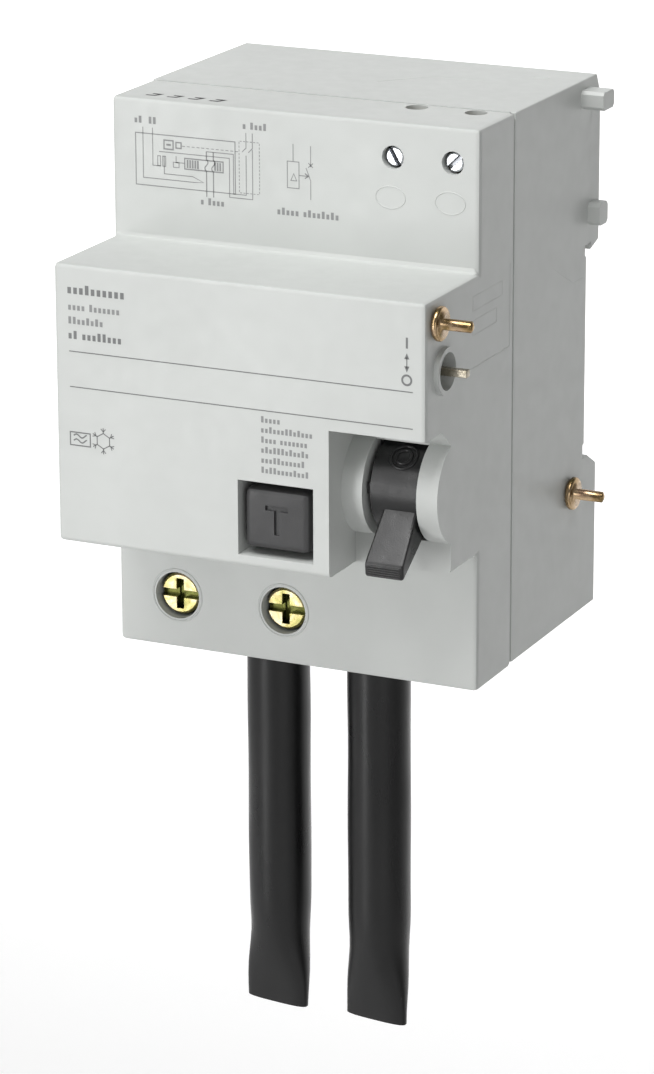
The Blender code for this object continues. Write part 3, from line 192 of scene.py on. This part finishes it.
def plated(name, colours, roughness, grain=900, face_y=None, marks=0.01 * MM):
    """A plated metal with drifting colour and fine tool marks, and painted shade in the slots
    behind a face.
    """
    made = Finish(name, colours[1], roughness, 1.0)
    step = 0.5 / (len(colours) - 1)
    stops = [(0.28 + step * i, colour) for i, colour in enumerate(colours)]
    made.colours(made.noise(grain * 0.55, 3, 0.8), *stops)
    made.rough_between(made.noise(grain * 2, 4), roughness - 0.07, roughness + 0.12)
    made.bump(made.noise(grain * 3, 3, 0.0, (1, 6, 1)), marks, 0.6)
    if face_y:
        # painted shade: behind face_y the base colour falls to a dark tint of the first colour,
        # standing in for the shade in the slots
        behind = made.ramp_along(1, face_y + 0.15 * MM, face_y + 0.7 * MM)
        made.darkened(behind, tint(colours[0], 0.45))
    return made.material


def wound(name, colour, pitch, direction="Z"):
    """Enamelled wire laid in close turns."""
    made = Finish(name, colour, 0.3, 0.85)
    made.colours(
        made.noise(500, 3), (0.3, tint(colour, 0.72)), (0.55, colour), (0.8, tint(colour, 1.18))
    )
    made.bump(made.bands(direction, 0.314 / pitch, 0.6), 0.12 * MM, 0.9)
    made.set("Coat Weight", 0.5)
    return made.material


def laminated(name, colour, pitch):
    """Stacked or wound magnetic strip."""
    made = Finish(name, colour, 0.42, 0.9)
    made.colours(
        made.noise(260, 4, 0.5), (0.3, tint(colour, 0.8)), (0.6, colour), (0.85, tint(colour, 1.2))
    )
    made.rough_between(made.noise(700, 3), 0.32, 0.55)
    made.bump(made.bands("Z", 0.314 / pitch, 0.3), 0.05 * MM, 0.7)
    return made.material


def sheathed(name):
    """Extruded black insulation: long faint draw lines, handling marks and a satin shine."""
    made = Finish(name, (0.008, 0.008, 0.008), 0.34)
    made.colours(
        made.noise(70, 5, 1.2, (1, 1, 0.35)),
        (0.32, (0.005, 0.005, 0.0052)),
        (0.58, (0.008, 0.008, 0.0083)),
        (0.80, (0.018, 0.018, 0.0185)),
    )
    made.rough_between(made.noise(130, 5, 0.8, (1, 1, 0.3)), 0.22, 0.44)
    made.bump(made.noise(700, 2, 0.0, (1, 1, 0.02)), 0.03 * MM, 0.5)
    made.bump(made.noise(60, 3, 0.3, (1, 1, 0.5)), 0.25 * MM, 0.5)
    made.bump(made.noise(2600, 2), 0.008 * MM, 0.5)
    made.set("Specular IOR Level", 0.45)
    return made.material


def printed_board():
    made = Finish("board_green", (0.02, 0.12, 0.05), 0.35)
    made.colours(
        made.noise(380, 1, 2.5), (0.44, (0.018, 0.10, 0.045)), (0.47, (0.03, 0.17, 0.07))
    )
    made.bump(made.noise(380, 1, 2.5), 0.03 * MM, 0.8)
    made.set("Coat Weight", 0.6)
    return made.material


GOLD = ((0.20, 0.21, 0.06), (0.44, 0.38, 0.16), (0.60, 0.52, 0.34), (0.34, 0.17, 0.09))
PIN_GOLD = ((0.10, 0.10, 0.04), (0.36, 0.24, 0.11), (0.62, 0.45, 0.28), (0.30, 0.15, 0.11))
ZINC = ((0.62, 0.64, 0.68), (0.78, 0.80, 0.83), (0.86, 0.87, 0.88))
BRASS = ((0.58, 0.43, 0.17), (0.74, 0.58, 0.27), (0.80, 0.66, 0.38))
NICKEL = ((0.26, 0.23, 0.17), (0.46, 0.42, 0.34), (0.58, 0.54, 0.46))
COPPER = ((0.55, 0.25, 0.14), (0.80, 0.42, 0.26), (0.86, 0.52, 0.36))

housing_grey = moulded("housing_grey", (0.555, 0.572, 0.555), 0.40)
black_plastic = moulded("black_plastic", (0.010, 0.010, 0.0103), 0.32, 4200, 0.03 * MM, 0.2)
button_black = moulded("button_black", (0.042, 0.042, 0.043), 0.44, 3600, 0.05 * MM, 0.2)
inner_plastic = moulded("inner_plastic", (0.70, 0.66, 0.55), 0.46)
component_black = moulded("component_black", (0.03, 0.03, 0.034), 0.30)
suppressor_blue = moulded("suppressor_blue", (0.03, 0.09, 0.30), 0.34, 700, 0.05 * MM)
ink_grey = moulded("ink_grey", (0.17, 0.175, 0.175), 0.5)
ink_light = moulded("ink_light", (0.25, 0.255, 0.255), 0.5)
ink_black = moulded("ink_black", (0.03, 0.03, 0.032), 0.5)
# the screw faces set where the painted shade in the slots of the terminal and auxiliary screws
# begins
screw_face_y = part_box("terminal_screw_left")[0].y
aux_face_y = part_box("aux_screw_1")[0].y
gold_chromate = plated("gold_chromate", GOLD, 0.26, 520, screw_face_y)
pin_chromate = plated("pin_chromate", PIN_GOLD, 0.22, 500, None, 0.004 * MM)
bright_zinc = plated("bright_zinc", ZINC, 0.22)
screw_zinc = plated("screw_zinc", ZINC, 0.2, 500, aux_face_y, 0.004 * MM)
nickel_pin = plated("nickel_pin", NICKEL, 0.28)
brass = plated("brass", BRASS, 0.26)
copper = plated("copper", COPPER, 0.3)
coil_copper = wound("coil_copper", (0.62, 0.26, 0.12), 0.25 * MM)
winding_copper = wound("winding_copper", (0.66, 0.30, 0.14), 0.35 * MM, "X")
core_iron = laminated("core_iron", (0.36, 0.36, 0.37), 0.5 * MM)
cable_black = sheathed("cable_black")
board_green = printed_board()

FINISHES = {
    housing_grey: ("front_cover", "rear_base"),
    black_plastic: ("toggle", "rail_slider", "relay_bobbin"),
    inner_plastic: (
        "contact_carrier",
        "transformer_cradle",
        "relay_case",
        "relay_cover",
        "relay_plunger",
        "trip_lever",
        "test_resistor",
    ),
    gold_chromate: ("terminal_screw_left", "terminal_screw_right"),
    pin_chromate: ("coupling_pin_front", "coupling_pin_rear"),
    nickel_pin: ("trip_pin",),
    screw_zinc: ("aux_screw_1", "aux_screw_2"),
    button_black: ("test_button",),
    bright_zinc: (
        "trip_shaft",
        "toggle_shaft",
        "terminal_cage_left",
        "terminal_cage_right",
        "trip_lever_spring",
        "toggle_spring",
        "test_button_spring",
        "relay_spring",
        "rail_slider_spring",
    ),
    copper: (
        "terminal_busbar_left",
        "terminal_busbar_right",
        "primary_conductor_left",
        "primary_conductor_right",
    ),
    coil_copper: ("relay_coil",),
    winding_copper: ("secondary_winding",),
    brass: (
        "aux_terminal_1",
        "aux_terminal_2",
        "test_contact_bridge",
        "test_contact_left",
        "test_contact_right",
    ),
    core_iron: ("transformer_core", "relay_yoke", "relay_armature"),
    component_black: ("relay_magnet", "filter_capacitor"),
    board_green: ("circuit_board",),
    suppressor_blue: ("surge_suppressor",),
}

EDGE_WIDTHS = {
    "front_cover": 0.12,
    "rear_base": 0.10,
    "toggle": 0.16,
    "test_button": 0.06,
    "rail_slider": 0.20,
    "trip_lever": 0.20,
    "relay_case": 0.25,
    "relay_cover": 0.20,
    "contact_carrier": 0.20,
    "transformer_cradle": 0.20,
    "terminal_screw_left": 0.09,
    "terminal_screw_right": 0.09,
    "terminal_cage_left": 0.15,
    "terminal_cage_right": 0.15,
    "terminal_busbar_left": 0.12,
    "terminal_busbar_right": 0.12,
    "aux_screw_1": 0.05,
    "aux_screw_2": 0.05,
    "aux_terminal_1": 0.10,
    "aux_terminal_2": 0.10,
    "trip_pin": 0.12,
    "circuit_board": 0.10,
    "surge_suppressor": 0.8,
    "relay_yoke": 0.10,
    "relay_armature": 0.10,
    "relay_magnet": 0.10,
    "relay_bobbin": 0.10,
    "transformer_core": 0.5,
}


def dress_nodes():
    """Gives every CAD node its finish, and breaks the sharp edges of the moulded and cut ones."""
    for finish, names in FINISHES.items():
        for name in names:
            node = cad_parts[name]
            node.data.materials.clear()
            node.data.materials.append(finish)
    for name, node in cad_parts.items():
        if name.startswith("load_cable"):
            continue
        node.data.shade_smooth()
        weld = node.modifiers.new("joined faces", "WELD")
        weld.merge_threshold = 0.002 * MM
        if name in EDGE_WIDTHS:
            flat = node.modifiers.new("flat faces", "DECIMATE")
            flat.decimate_type = "DISSOLVE"
            flat.angle_limit = math.radians(0.6)
            edge = node.modifiers.new("broken edges", "BEVEL")
            edge.width = EDGE_WIDTHS[name] * MM
            edge.segments = 3
            edge.limit_method = "ANGLE"
            edge.angle_limit = math.radians(36)
            edge.miter_outer = "MITER_ARC"
        normals = node.modifiers.new("even shading", "WEIGHTED_NORMAL")
        normals.weight = 60


# Shapes


def placed(name, mesh, finish, body):
    piece = bpy.data.objects.new(name, mesh)
    bpy.context.scene.collection.objects.link(piece)
    mesh.materials.append(finish)
    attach(piece, body)
    return piece


def from_bmesh(name, made, finish, body):
    mesh = bpy.data.meshes.new(name)
    bmesh.ops.recalc_face_normals(made, faces=made.faces)
    made.to_mesh(mesh)
    made.free()
    mesh.shade_smooth()
    mesh.set_sharp_from_angle(angle=math.radians(40))
    return placed(name, mesh, finish, body)


def loft(made, rings, caps=(True, True)):
    """Joins rings of points, each with the same count, into a skin."""
    loops = [[made.verts.new(point) for point in ring] for ring in rings]
    for first, second in zip(loops, loops[1:]):
        for i in range(len(first)):
            j = (i + 1) % len(first)
            made.faces.new((first[i], first[j], second[j], second[i]))
    if caps[0]:
        made.faces.new(loops[0])
    if caps[1]:
        made.faces.new(reversed(loops[-1]))


def frame_on(plane):
    """Maps (across, up, out) in millimetres on a flat face of the housing to a point."""
    if plane == "side":
        return lambda a, b, out: Vector((SIDE_X + out * MM, a * MM, b * MM))
    if plane == "top":
        return lambda a, b, out: Vector((a * MM, b * MM, 45 * MM + out * MM))
    front = NOSE_Y if plane == "nose" else SHOULDER_Y
    return lambda a, b, out: Vector((a * MM, front - out * MM, b * MM))


def ribbon(made, to_point, points, width, closed=False, out=0.02):
    """A flat stroke of even width along points, mitred at its corners."""
    count = len(points)
    points = [Vector(point) for point in points]
    sides = []
    for i, here in enumerate(points):
        before = points[i - 1] if i or closed else None
        after = points[(i + 1) % count] if i < count - 1 or closed else None
        directions = [(b - a).normalized() for a, b in ((before, here), (here, after)) if a and b]
        along = sum(directions, Vector((0, 0))).normalized()
        across = Vector((-along.y, along.x))
        reach = width / 2 / max(0.5, abs(across.dot(Vector((-directions[0].y, directions[0].x)))))
        sides.append(
            [made.verts.new(to_point(*(here + across * reach * s), out)) for s in (1, -1)]
        )
    for i in range(count if closed else count - 1):
        a, b = sides[i], sides[(i + 1) % count]
        made.faces.new((a[0], a[1], b[1], b[0]))


def circle(x, z, radius, sides=28, first=0):
    turns = [math.radians(first + 360 * i / sides) for i in range(sides)]
    return [(x + radius * math.cos(turn), z + radius * math.sin(turn)) for turn in turns]


def arrow_head(made, to_point, x, tip, length, out=0.02):
    """A filled arrow head on an upright line."""
    corners = ((x, tip), (x - 0.42, tip + length), (x + 0.42, tip + length))
    made.faces.new([made.verts.new(to_point(a, b, out)) for a, b in corners])


def greeked(made, to_point, x, z, words, height, rng):
    """A line of plain ticks in word-sized groups, in place of lettering."""
    for word in words:
        for _ in range(word):
            tall = height * rng.choice((0.68, 0.68, 1.0))
            ribbon(made, to_point, [(x, z), (x, z + tall)], height * 0.42)
            x += height * 0.68
        x += height * 0.5


# Printing and moulded marks


def print_nose():
    to_point = frame_on("nose")
    dark = bmesh.new()
    for z in (8.6, 2.9):
        ribbon(dark, to_point, [(-28.9, z), (29.4, z)], 0.16)
    ribbon(dark, to_point, [(28.4, 17.0), (28.4, 15.3)], 0.34)
    ribbon(dark, to_point, [(28.4, 14.0), (28.4, 12.2)], 0.16)
    for tip, way in ((14.6, -1), (11.6, 1)):
        arrow_head(dark, to_point, 28.4, tip, way * 0.95)
    ribbon(dark, to_point, circle(28.4, 10.4, 0.75), 0.32, True)
    ribbon(
        dark, to_point, [(-29.0, -6.5), (-25.5, -6.5), (-25.5, -4.4), (-29.0, -4.4)], 0.2, True
    )
    for z in (-4.95, -5.75):
        wave = [(-28.4 + 0.23 * i, z + 0.28 * math.sin(i * 0.75)) for i in range(11)]
        ribbon(dark, to_point, wave, 0.22)
    centre = Vector((-23.2, -5.3))
    ribbon(dark, to_point, circle(*centre, 1.25, 6, 30), 0.16, True)
    for k in range(6):
        way = Vector((math.cos(math.radians(60 * k + 30)), math.sin(math.radians(60 * k + 30))))
        side = Vector((-way.y, way.x))
        ribbon(dark, to_point, [centre + way * 1.2, centre + way * 2.1], 0.16)
        for s in (1, -1):
            ribbon(
                dark, to_point, [centre + way * 1.5, centre + way * 1.95 + side * s * 0.42], 0.14
            )
    rng = random.Random(4)
    greeked(dark, to_point, -28.7, 17.8, (10,), 1.5, rng)
    greeked(dark, to_point, -28.7, 10.6, (2, 8), 1.3, rng)
    from_bmesh("nose_print", dark, ink_grey, "housing")
    light = bmesh.new()
    for z, words in ((15.2, (4, 7)), (13.0, (8,))):
        greeked(light, to_point, -28.7, z, words, 1.15, rng)
    rows = ((5,), (13,), (4, 7), (12,), (11,), (12,))
    for row, words in enumerate(rows):
        greeked(light, to_point, 4.3, 1.0 - 1.6 * row, words, 1.0, rng)
    from_bmesh("nose_small_print", light, ink_light, "housing")


def print_shoulder():
    """A generic circuit diagram and a generic switch symbol."""
    to_point = frame_on("shoulder")
    made = bmesh.new()

    def stroke(*points, width=0.13, closed=False):
        ribbon(made, to_point, points, width, closed)

    def dashes(a, b, count):
        a, b = Vector(a), Vector(b)
        for i in range(count):
            stroke(a.lerp(b, (i + 0.2) / count), a.lerp(b, (i + 0.8) / count), width=0.11)

    def bar(x0, z0, x1, z1, width=0.13):
        stroke((x0, z0), (x1, z0), (x1, z1), (x0, z1), width=width, closed=True)

    def dashed_bar(x0, z0, x1, z1, across, up):
        for a, b, count in (
            ((x0, z0), (x1, z0), across),
            ((x0, z1), (x1, z1), across),
            ((x0, z0), (x0, z1), up),
            ((x1, z0), (x1, z1), up),
        ):
            dashes(a, b, count)

    bar(-27.3, 31.1, -9.9, 39.4, 0.15)
    bar(-22.3, 37.2, -20.7, 38.6, 0.22)
    stroke((-21.9, 37.9), (-21.1, 37.9), width=0.3)
    bar(-20.2, 37.5, -19.3, 38.4, 0.22)
    dashes((-19.3, 37.9), (-9.2, 37.9), 12)
    dashed_bar(-9.2, 31.4, -5.7, 39.6, 6, 14)
    stroke((-26.0, 40.4), (-26.0, 32.3), (-17.0, 32.3))
    stroke((-24.3, 40.4), (-24.3, 34.4), (-22.9, 34.4))
    stroke((-23.2, 36.7), (-10.9, 36.7), (-10.9, 30.5), (-6.9, 30.5), (-6.9, 38.4))
    stroke((-22.3, 36.0), (-22.3, 33.2), (-17.3, 33.2))
    for x in (-23.2, -22.3):
        bar(x - 0.25, 34.4, x + 0.25, 36.0)
    for x in (-8.0, -6.9):
        stroke((x, 41.0), (x, 38.6), (x - 0.7, 37.9))
    stroke((-8.0, 37.4), (-8.0, 31.1), (-10.2, 31.1), (-10.2, 37.4), (-14.9, 37.4))
    bar(-18.7, 34.3, -12.0, 36.0, 0.2)
    for i in range(5):
        x = -18.2 + 0.45 * i
        stroke((x, 34.5), (x, 35.8), width=0.3)
    for i in range(3):
        x = -12.5 - 0.45 * i
        stroke((x, 34.5), (x, 35.8), width=0.3)
    for x in (-14.9, -13.7):
        curl = [(x + 0.3 * math.sin(k * 1.05), 36.2 - 0.33 * k) for k in range(7)]
        stroke((x, 37.4), *curl, (x, 30.2), width=0.18)
    stroke((-17.3, 33.2), (-15.4, 32.4), (-17.0, 32.3))
    stroke((-18.7, 35.2), (-20.2, 35.2), (-20.2, 36.2))
    bar(-20.7, 34.4, -19.7, 35.2)
    bar(-0.9, 33.0, 1.1, 37.2)
    stroke((0.1, 37.2), (0.1, 40.0))
    stroke((-0.3, 34.2), (0.7, 34.2), (0.2, 35.3), closed=True, width=0.12)
    stroke((3.1, 31.4), (3.1, 34.4), (2.3, 36.4))
    stroke((3.1, 36.6), (3.1, 39.9))
    stroke((2.7, 37.2), (3.5, 36.5))
    stroke((2.7, 36.5), (3.5, 37.2))
    stroke((1.1, 35.1), (2.6, 35.1))
    stroke((2.1, 35.5), (2.7, 35.1), (2.1, 34.7), width=0.18)
    rng = random.Random(9)
    greeked(made, to_point, -2.4, 28.6, (5, 8), 1.15, rng)
    for x, z, words in (
        (-27.2, 41.0, (2,)),
        (-24.7, 41.0, (2,)),
        (-8.3, 41.6, (1, 4)),
        (-15.7, 28.9, (1, 4)),
    ):
        greeked(made, to_point, x, z, words, 1.1, rng)
    from_bmesh("shoulder_print", made, ink_light, "housing")


def print_top():
    """A stamp of four plain marks, in place of figures."""
    to_point = frame_on("top")
    made = bmesh.new()
    for i in range(4):
        x = -26.6 + 3.7 * i
        mark = [(x, -41.6), (x + 1.5, -41.6), (x + 2.1, -40.4), (x + 0.6, -40.4)]
        ribbon(made, to_point, mark, 0.5)
    from_bmesh("top_print", made, ink_black, "housing")


def raised_line(name, to_point, points, radius=0.09, closed=False):
    """A fine moulded line, half sunk in the face."""
    curve = bpy.data.curves.new(name, "CURVE")
    curve.dimensions = "3D"
    curve.bevel_depth = radius * MM
    curve.bevel_resolution = 2
    curve.use_fill_caps = not closed
    spline = curve.splines.new("POLY")
    spline.points.add(len(points) - 1)
    spline.use_cyclic_u = closed
    for place, (a, b) in zip(spline.points, points):
        place.co = (*to_point(a, b, -radius * 0.35), 1.0)
    curve.materials.append(housing_grey)
    piece = bpy.data.objects.new(name, curve)
    bpy.context.scene.collection.objects.link(piece)
    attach(piece, "housing")
    return piece


def add_seam():
    """The lip behind the parting line, which closes the joint of the two shells."""
    low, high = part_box("front_cover")
    half_gap = 0.20 * MM
    seam_y = (high.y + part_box("rear_base")[0].y) / 2
    depth = 0.012 * MM
    thick = 0.6 * MM
    upright = (thick, high.z - low.z - 2 * MM)
    for name, corner, size in (
        ("seam_right", (SIDE_X - depth - thick, low.z + MM), upright),
        ("seam_left", (-SIDE_X + depth, low.z + MM), upright),
        ("seam_top", (-SIDE_X + MM, high.z - depth - thick), (2 * SIDE_X - 2 * MM, thick)),
    ):
        made = bmesh.new()
        x, z = corner
        wide, tall = size
        rings = [
            [
                Vector((x, y, z)),
                Vector((x + wide, y, z)),
                Vector((x + wide, y, z + tall)),
                Vector((x, y, z + tall)),
            ]
            for y in (seam_y - half_gap, seam_y + half_gap)
        ]
        loft(made, rings)
        from_bmesh(name, made, housing_grey, "housing")


def oval(x, z, half_width, half_height, sides=32):
    return [
        (
            x + half_width * math.cos(2 * math.pi * i / sides),
            z + half_height * math.sin(2 * math.pi * i / sides),
        )
        for i in range(sides)
    ]


def add_moulded_marks():
    shoulder = frame_on("shoulder")
    side = frame_on("side")
    top = frame_on("top")
    for number, x in ((1, 16.6), (2, 26.6)):
        raised_line(f"mark_oval_{number}", shoulder, oval(x, 33.1, 2.5, 1.75), 0.1, True)
    for name in ("terminal_screw_left", "terminal_screw_right"):
        low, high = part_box(name)
        x, z = (low.x + high.x) / 2 / MM, (low.z + high.z) / 2 / MM
        raised_line(f"{name}_rim", shoulder, oval(x, z, 4.35, 4.35, 48), 0.22, True)
    raised_line(
        "side_border", side, [(-31.9, 21.6), (-31.9, 8.6), (-32.3, 8.2), (-48.6, 8.2)], 0.1
    )
    for i, z in enumerate((17.2, 13.4)):
        reach = (-46.4, -35.0 - 2.2 * i)
        raised_line(
            f"side_panel_{i}",
            side,
            [(reach[0], z), (reach[1], z), (reach[1], z + 2.3), (reach[0], z + 2.3)],
            0.07,
            True,
        )
    side_seam = [(-14.7, 17.0), (-10.3, 14.7), (-5.6, 12.4), (-0.5, 12.4)]
    raised_line("side_seam", side, side_seam, 0.06)
    raised_line("top_mark", top, oval(24.6, -3.4, 1.4, 0.5, 20), 0.08, True)
    raised_line("top_border", top, [(2.0, -17.0), (9.0, -9.4), (17.5, -9.4)], 0.09)


# Toggle, button and screws


def on_drum(x, angle, radius):
    """A point by the drum's axis: x in millimetres, the angle above straight ahead in degrees."""
    turn = math.radians(angle)
    return Vector(
        (
            x * MM,
            TOGGLE_AXLE.y - radius * math.cos(turn),
            TOGGLE_AXLE.z + radius * math.sin(turn),
        )
    )


def tube_along(name, points, radius, finish, body, closed=False):
    curve = bpy.data.curves.new(name, "CURVE")
    curve.dimensions = "3D"
    curve.bevel_depth = radius
    curve.bevel_resolution = 3
    curve.use_fill_caps = not closed
    spline = curve.splines.new("POLY")
    spline.points.add(len(points) - 1)
    spline.use_cyclic_u = closed
    for place, point in zip(spline.points, points):
        place.co = (*point, 1.0)
    curve.materials.append(finish)
    piece = bpy.data.objects.new(name, curve)
    bpy.context.scene.collection.objects.link(piece)
    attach(piece, body)
    return piece


def add_toggle_details():
    """Two raised rings on the drum, and fine ridges across the tip of the tongue."""
    for number, reach in enumerate((2.1, 1.25)):
        points = []
        for i in range(40):
            turn = 2 * math.pi * i / 40
            rise = math.degrees(reach * MM * math.sin(turn) / DRUM_RADIUS)
            across = DRUM_RINGS_X + reach * math.cos(turn)
            points.append(on_drum(across, DRUM_RINGS_ANGLE + rise, DRUM_RADIUS))
        name = f"toggle_ring_{number + 1}"
        tube_along(name, points, 0.26 * MM, black_plastic, "toggle", True)
    low = Vector((0, -63.75, -21.05))
    high = Vector((0, -63.98, -19.55))
    for i in range(TIP_RIDGE_COUNT):
        point = low.lerp(high, i / (TIP_RIDGE_COUNT - 1))
        ends = [Vector((x, point.y, point.z)) * MM for x in TIP_RIDGE_ENDS]
        tube_along(f"tip_ridge_{i + 1}", ends, 0.13 * MM, black_plastic, "toggle")


# Leads


def smooth_route(points, steps):
    """The same smooth curve that the solid lead follows, through its points in millimetres."""
    points = [Vector(point) for point in points]
    points = [2 * points[0] - points[1], *points, 2 * points[-1] - points[-2]]
    route = []
    for i in range(1, len(points) - 2):
        before, here, there, after = points[i - 1 : i + 3]
        for step in range(steps):
            t = step / steps
            route.append(
                0.5
                * (
                    2 * here
                    + (there - before) * t
                    + (2 * before - 5 * here + 4 * there - after) * t * t
                    + (3 * here - before - 3 * there + after) * t**3
                )
            )
    return [*route, points[-2]]


def lead_ring(centre, half_x, half_y, slant=0.0, sides=48):
    """A ring of a lead's surface: round where its halves match, and squarer as it flattens."""
    power = 1.0 - 0.45 * max(0.0, 1 - half_y / half_x)
    ring = []
    for i in range(sides):
        turn = 2 * math.pi * i / sides
        across = math.copysign(abs(math.cos(turn)) ** power, math.cos(turn))
        deep = math.copysign(abs(math.sin(turn)) ** power, math.sin(turn))
        ring.append(centre + Vector((half_x * across, half_y * deep, slant * across)))
    return ring


def pressed(above_end):
    """How far a lead is pressed flat at a height above its end: 0 is round and 1 is flat."""
    share = min(1.0, max(0.0, 1 - above_end / PRESSED_LENGTH))
    return share * share * (3 - 2 * share)


def add_lead(side, seed):
    """A free lead: its sheath, pressed flat where it was cut, and the strands in the cut face."""
    offset = Vector((LEAD_XS[side], LEAD_Y, 0.0))
    route = [point * MM + offset for point in smooth_route(LEAD_DRIFT, 8)]
    made = bmesh.new()
    rings = []
    for i, point in enumerate(route):
        above_end = point.z - LEAD_END_Z
        flat = pressed(above_end)
        kink = math.exp(-(((above_end - 0.8 * PRESSED_LENGTH) / (4 * MM)) ** 2))
        sway = 0.10 * MM * math.sin(i * 0.55 + seed)
        half_x = LEAD_RADIUS + flat * 0.25 * MM - kink * 0.30 * MM + sway * (0.4 + flat)
        half_y = LEAD_RADIUS * (1 - 0.76 * flat) - kink * 0.35 * MM
        centre = point + PRESSED_SHIFT * flat
        rings.append(lead_ring(centre, half_x, half_y, CUT_SLANT * flat))
    end = route[-1] + PRESSED_SHIFT
    for half_x, half_y, lift in ((5.2, 0.95, 0.0), (4.8, 0.75, 0.1), (4.7, 0.72, 2.2)):
        centre = end + Vector((0, 0, lift * MM))
        rings.append(lead_ring(centre, half_x * MM, half_y * MM, CUT_SLANT))
    loft(made, rings)
    sheath = from_bmesh(f"lead_sheath_{side}", made, cable_black, "housing")
    strands = bmesh.new()
    for row, count in ((-0.5, 7), (0.5, 6)):
        for k in range(count):
            x = end.x + (k - (count - 1) / 2) * 1.18 * MM
            y = end.y + row * 0.66 * MM
            lift = 0.25 * MM * abs(math.sin(k * 2.3 + row + seed))
            wires = []
            for z, radius in ((2.1, 0.3), (0.85, 0.3), (0.75, 0.24)):
                centre = Vector((x, y, end.z + z * MM + lift))
                wires.append(lead_ring(centre, radius * MM, radius * 0.92 * MM, 0.0, 12))
            loft(strands, wires)
    wires = from_bmesh(f"lead_strands_{side}", strands, copper, "housing")
    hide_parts(f"load_cable_{side}")


# Studio


def add_studio():
    made = bmesh.new()
    profile = [(-3.0, FLOOR_Z), (0.9, FLOOR_Z)]
    for i in range(1, 17):
        turn = math.radians(90 * i / 16)
        profile.append((0.9 + 0.7 * math.sin(turn), FLOOR_Z + 0.7 * (1 - math.cos(turn))))
    profile.append((1.6, 3.0))
    rows = [[made.verts.new((x, y, z)) for x in (-2.4, 1.3)] for y, z in profile]
    for first, second in zip(rows, rows[1:]):
        made.faces.new((first[0], first[1], second[1], second[0]))
    mesh = bpy.data.meshes.new("studio_sweep")
    made.to_mesh(mesh)
    made.free()
    mesh.shade_smooth()
    white = Finish("studio_white", (0.85, 0.85, 0.85), 0.9)
    white.colours(
        white.ramp_along(0, 0.1, 0.5), (0.0, (0.85, 0.85, 0.85)), (1.0, (0.48, 0.48, 0.48))
    )
    white.darkened(white.ramp_along(1, -0.15, -0.4), (0.6, 0.6, 0.6))
    white.set("Emission Color", (1.0, 1.0, 1.0, 1.0))
    glow = white.nodes.new("ShaderNodeMath")
    glow.operation = "MULTIPLY"
    white.links.new(white.ramp_along(1, 0.15, 0.9, 0.75), glow.inputs[0])
    white.links.new(white.ramp_along(2, 0.7, 0.1), glow.inputs[1])
    white.links.new(glow.outputs[0], white.shader.inputs["Emission Strength"])
    mesh.materials.append(white.material)
    sweep = bpy.data.objects.new("studio_sweep", mesh)
    bpy.context.scene.collection.objects.link(sweep)
    world = bpy.context.scene.world or bpy.data.worlds.new("World")
    bpy.context.scene.world = world
    world.use_nodes = True
    background = world.node_tree.nodes["Background"]
    background.inputs["Color"].default_value = (1.0, 1.0, 1.0, 1.0)
    background.inputs["Strength"].default_value = 0.2


def add_light(name, place, target, size, power, shape_ratio=1.0):
    data = bpy.data.lights.new(name, "AREA")
    data.shape = "RECTANGLE"
    data.size = size
    data.size_y = size * shape_ratio
    data.energy = power
    lamp = bpy.data.objects.new(name, data)
    lamp.location = place
    lamp.rotation_mode = "QUATERNION"
    lamp.rotation_quaternion = (Vector(target) - Vector(place)).to_track_quat("-Z", "Y")
    bpy.context.scene.collection.objects.link(lamp)


def add_lights():
    middle = (0.0, -0.03, 0.0)
    add_light("key", (-0.68, -1.2, 0.62), middle, 0.55, 5.4, 2.2)
    add_light("top", (-0.15, -0.55, 1.3), middle, 0.9, 18.0)
    add_light("low_strip", (-0.5, -0.95, -0.1), (0.0, -0.03, -0.08), 0.2, 2.6, 2.6)
    add_light("right_fill", (1.1, -1.3, 0.1), middle, 0.8, 3.6)


def add_camera():
    azimuth, elevation, distance = math.radians(24.57), math.radians(15.71), 0.6952
    back = Vector(
        (
            math.sin(azimuth) * math.cos(elevation),
            -math.cos(azimuth) * math.cos(elevation),
            math.sin(elevation),
        )
    )
    data = bpy.data.cameras.new("camera")
    data.sensor_width = 36.0
    data.lens = 145.28
    data.shift_x = -0.05
    data.shift_y = -0.12
    data.clip_start = 0.01
    data.clip_end = 20.0
    camera = bpy.data.objects.new("camera", data)
    camera.location = Vector((6.28, -25.0, -6.48)) * MM + back * distance
    camera.rotation_mode = "QUATERNION"
    camera.rotation_quaternion = back.to_track_quat("Z", "Y")
    bpy.context.scene.collection.objects.link(camera)
    bpy.context.scene.camera = camera


add_camera()
add_lead("left", 0.4)
add_lead("right", 1.9)
dress_nodes()
print_nose()
print_shoulder()
print_top()
add_moulded_marks()
add_seam()
add_toggle_details()
add_studio()
add_lights()
bpy.context.scene.view_settings.view_transform = "Standard"
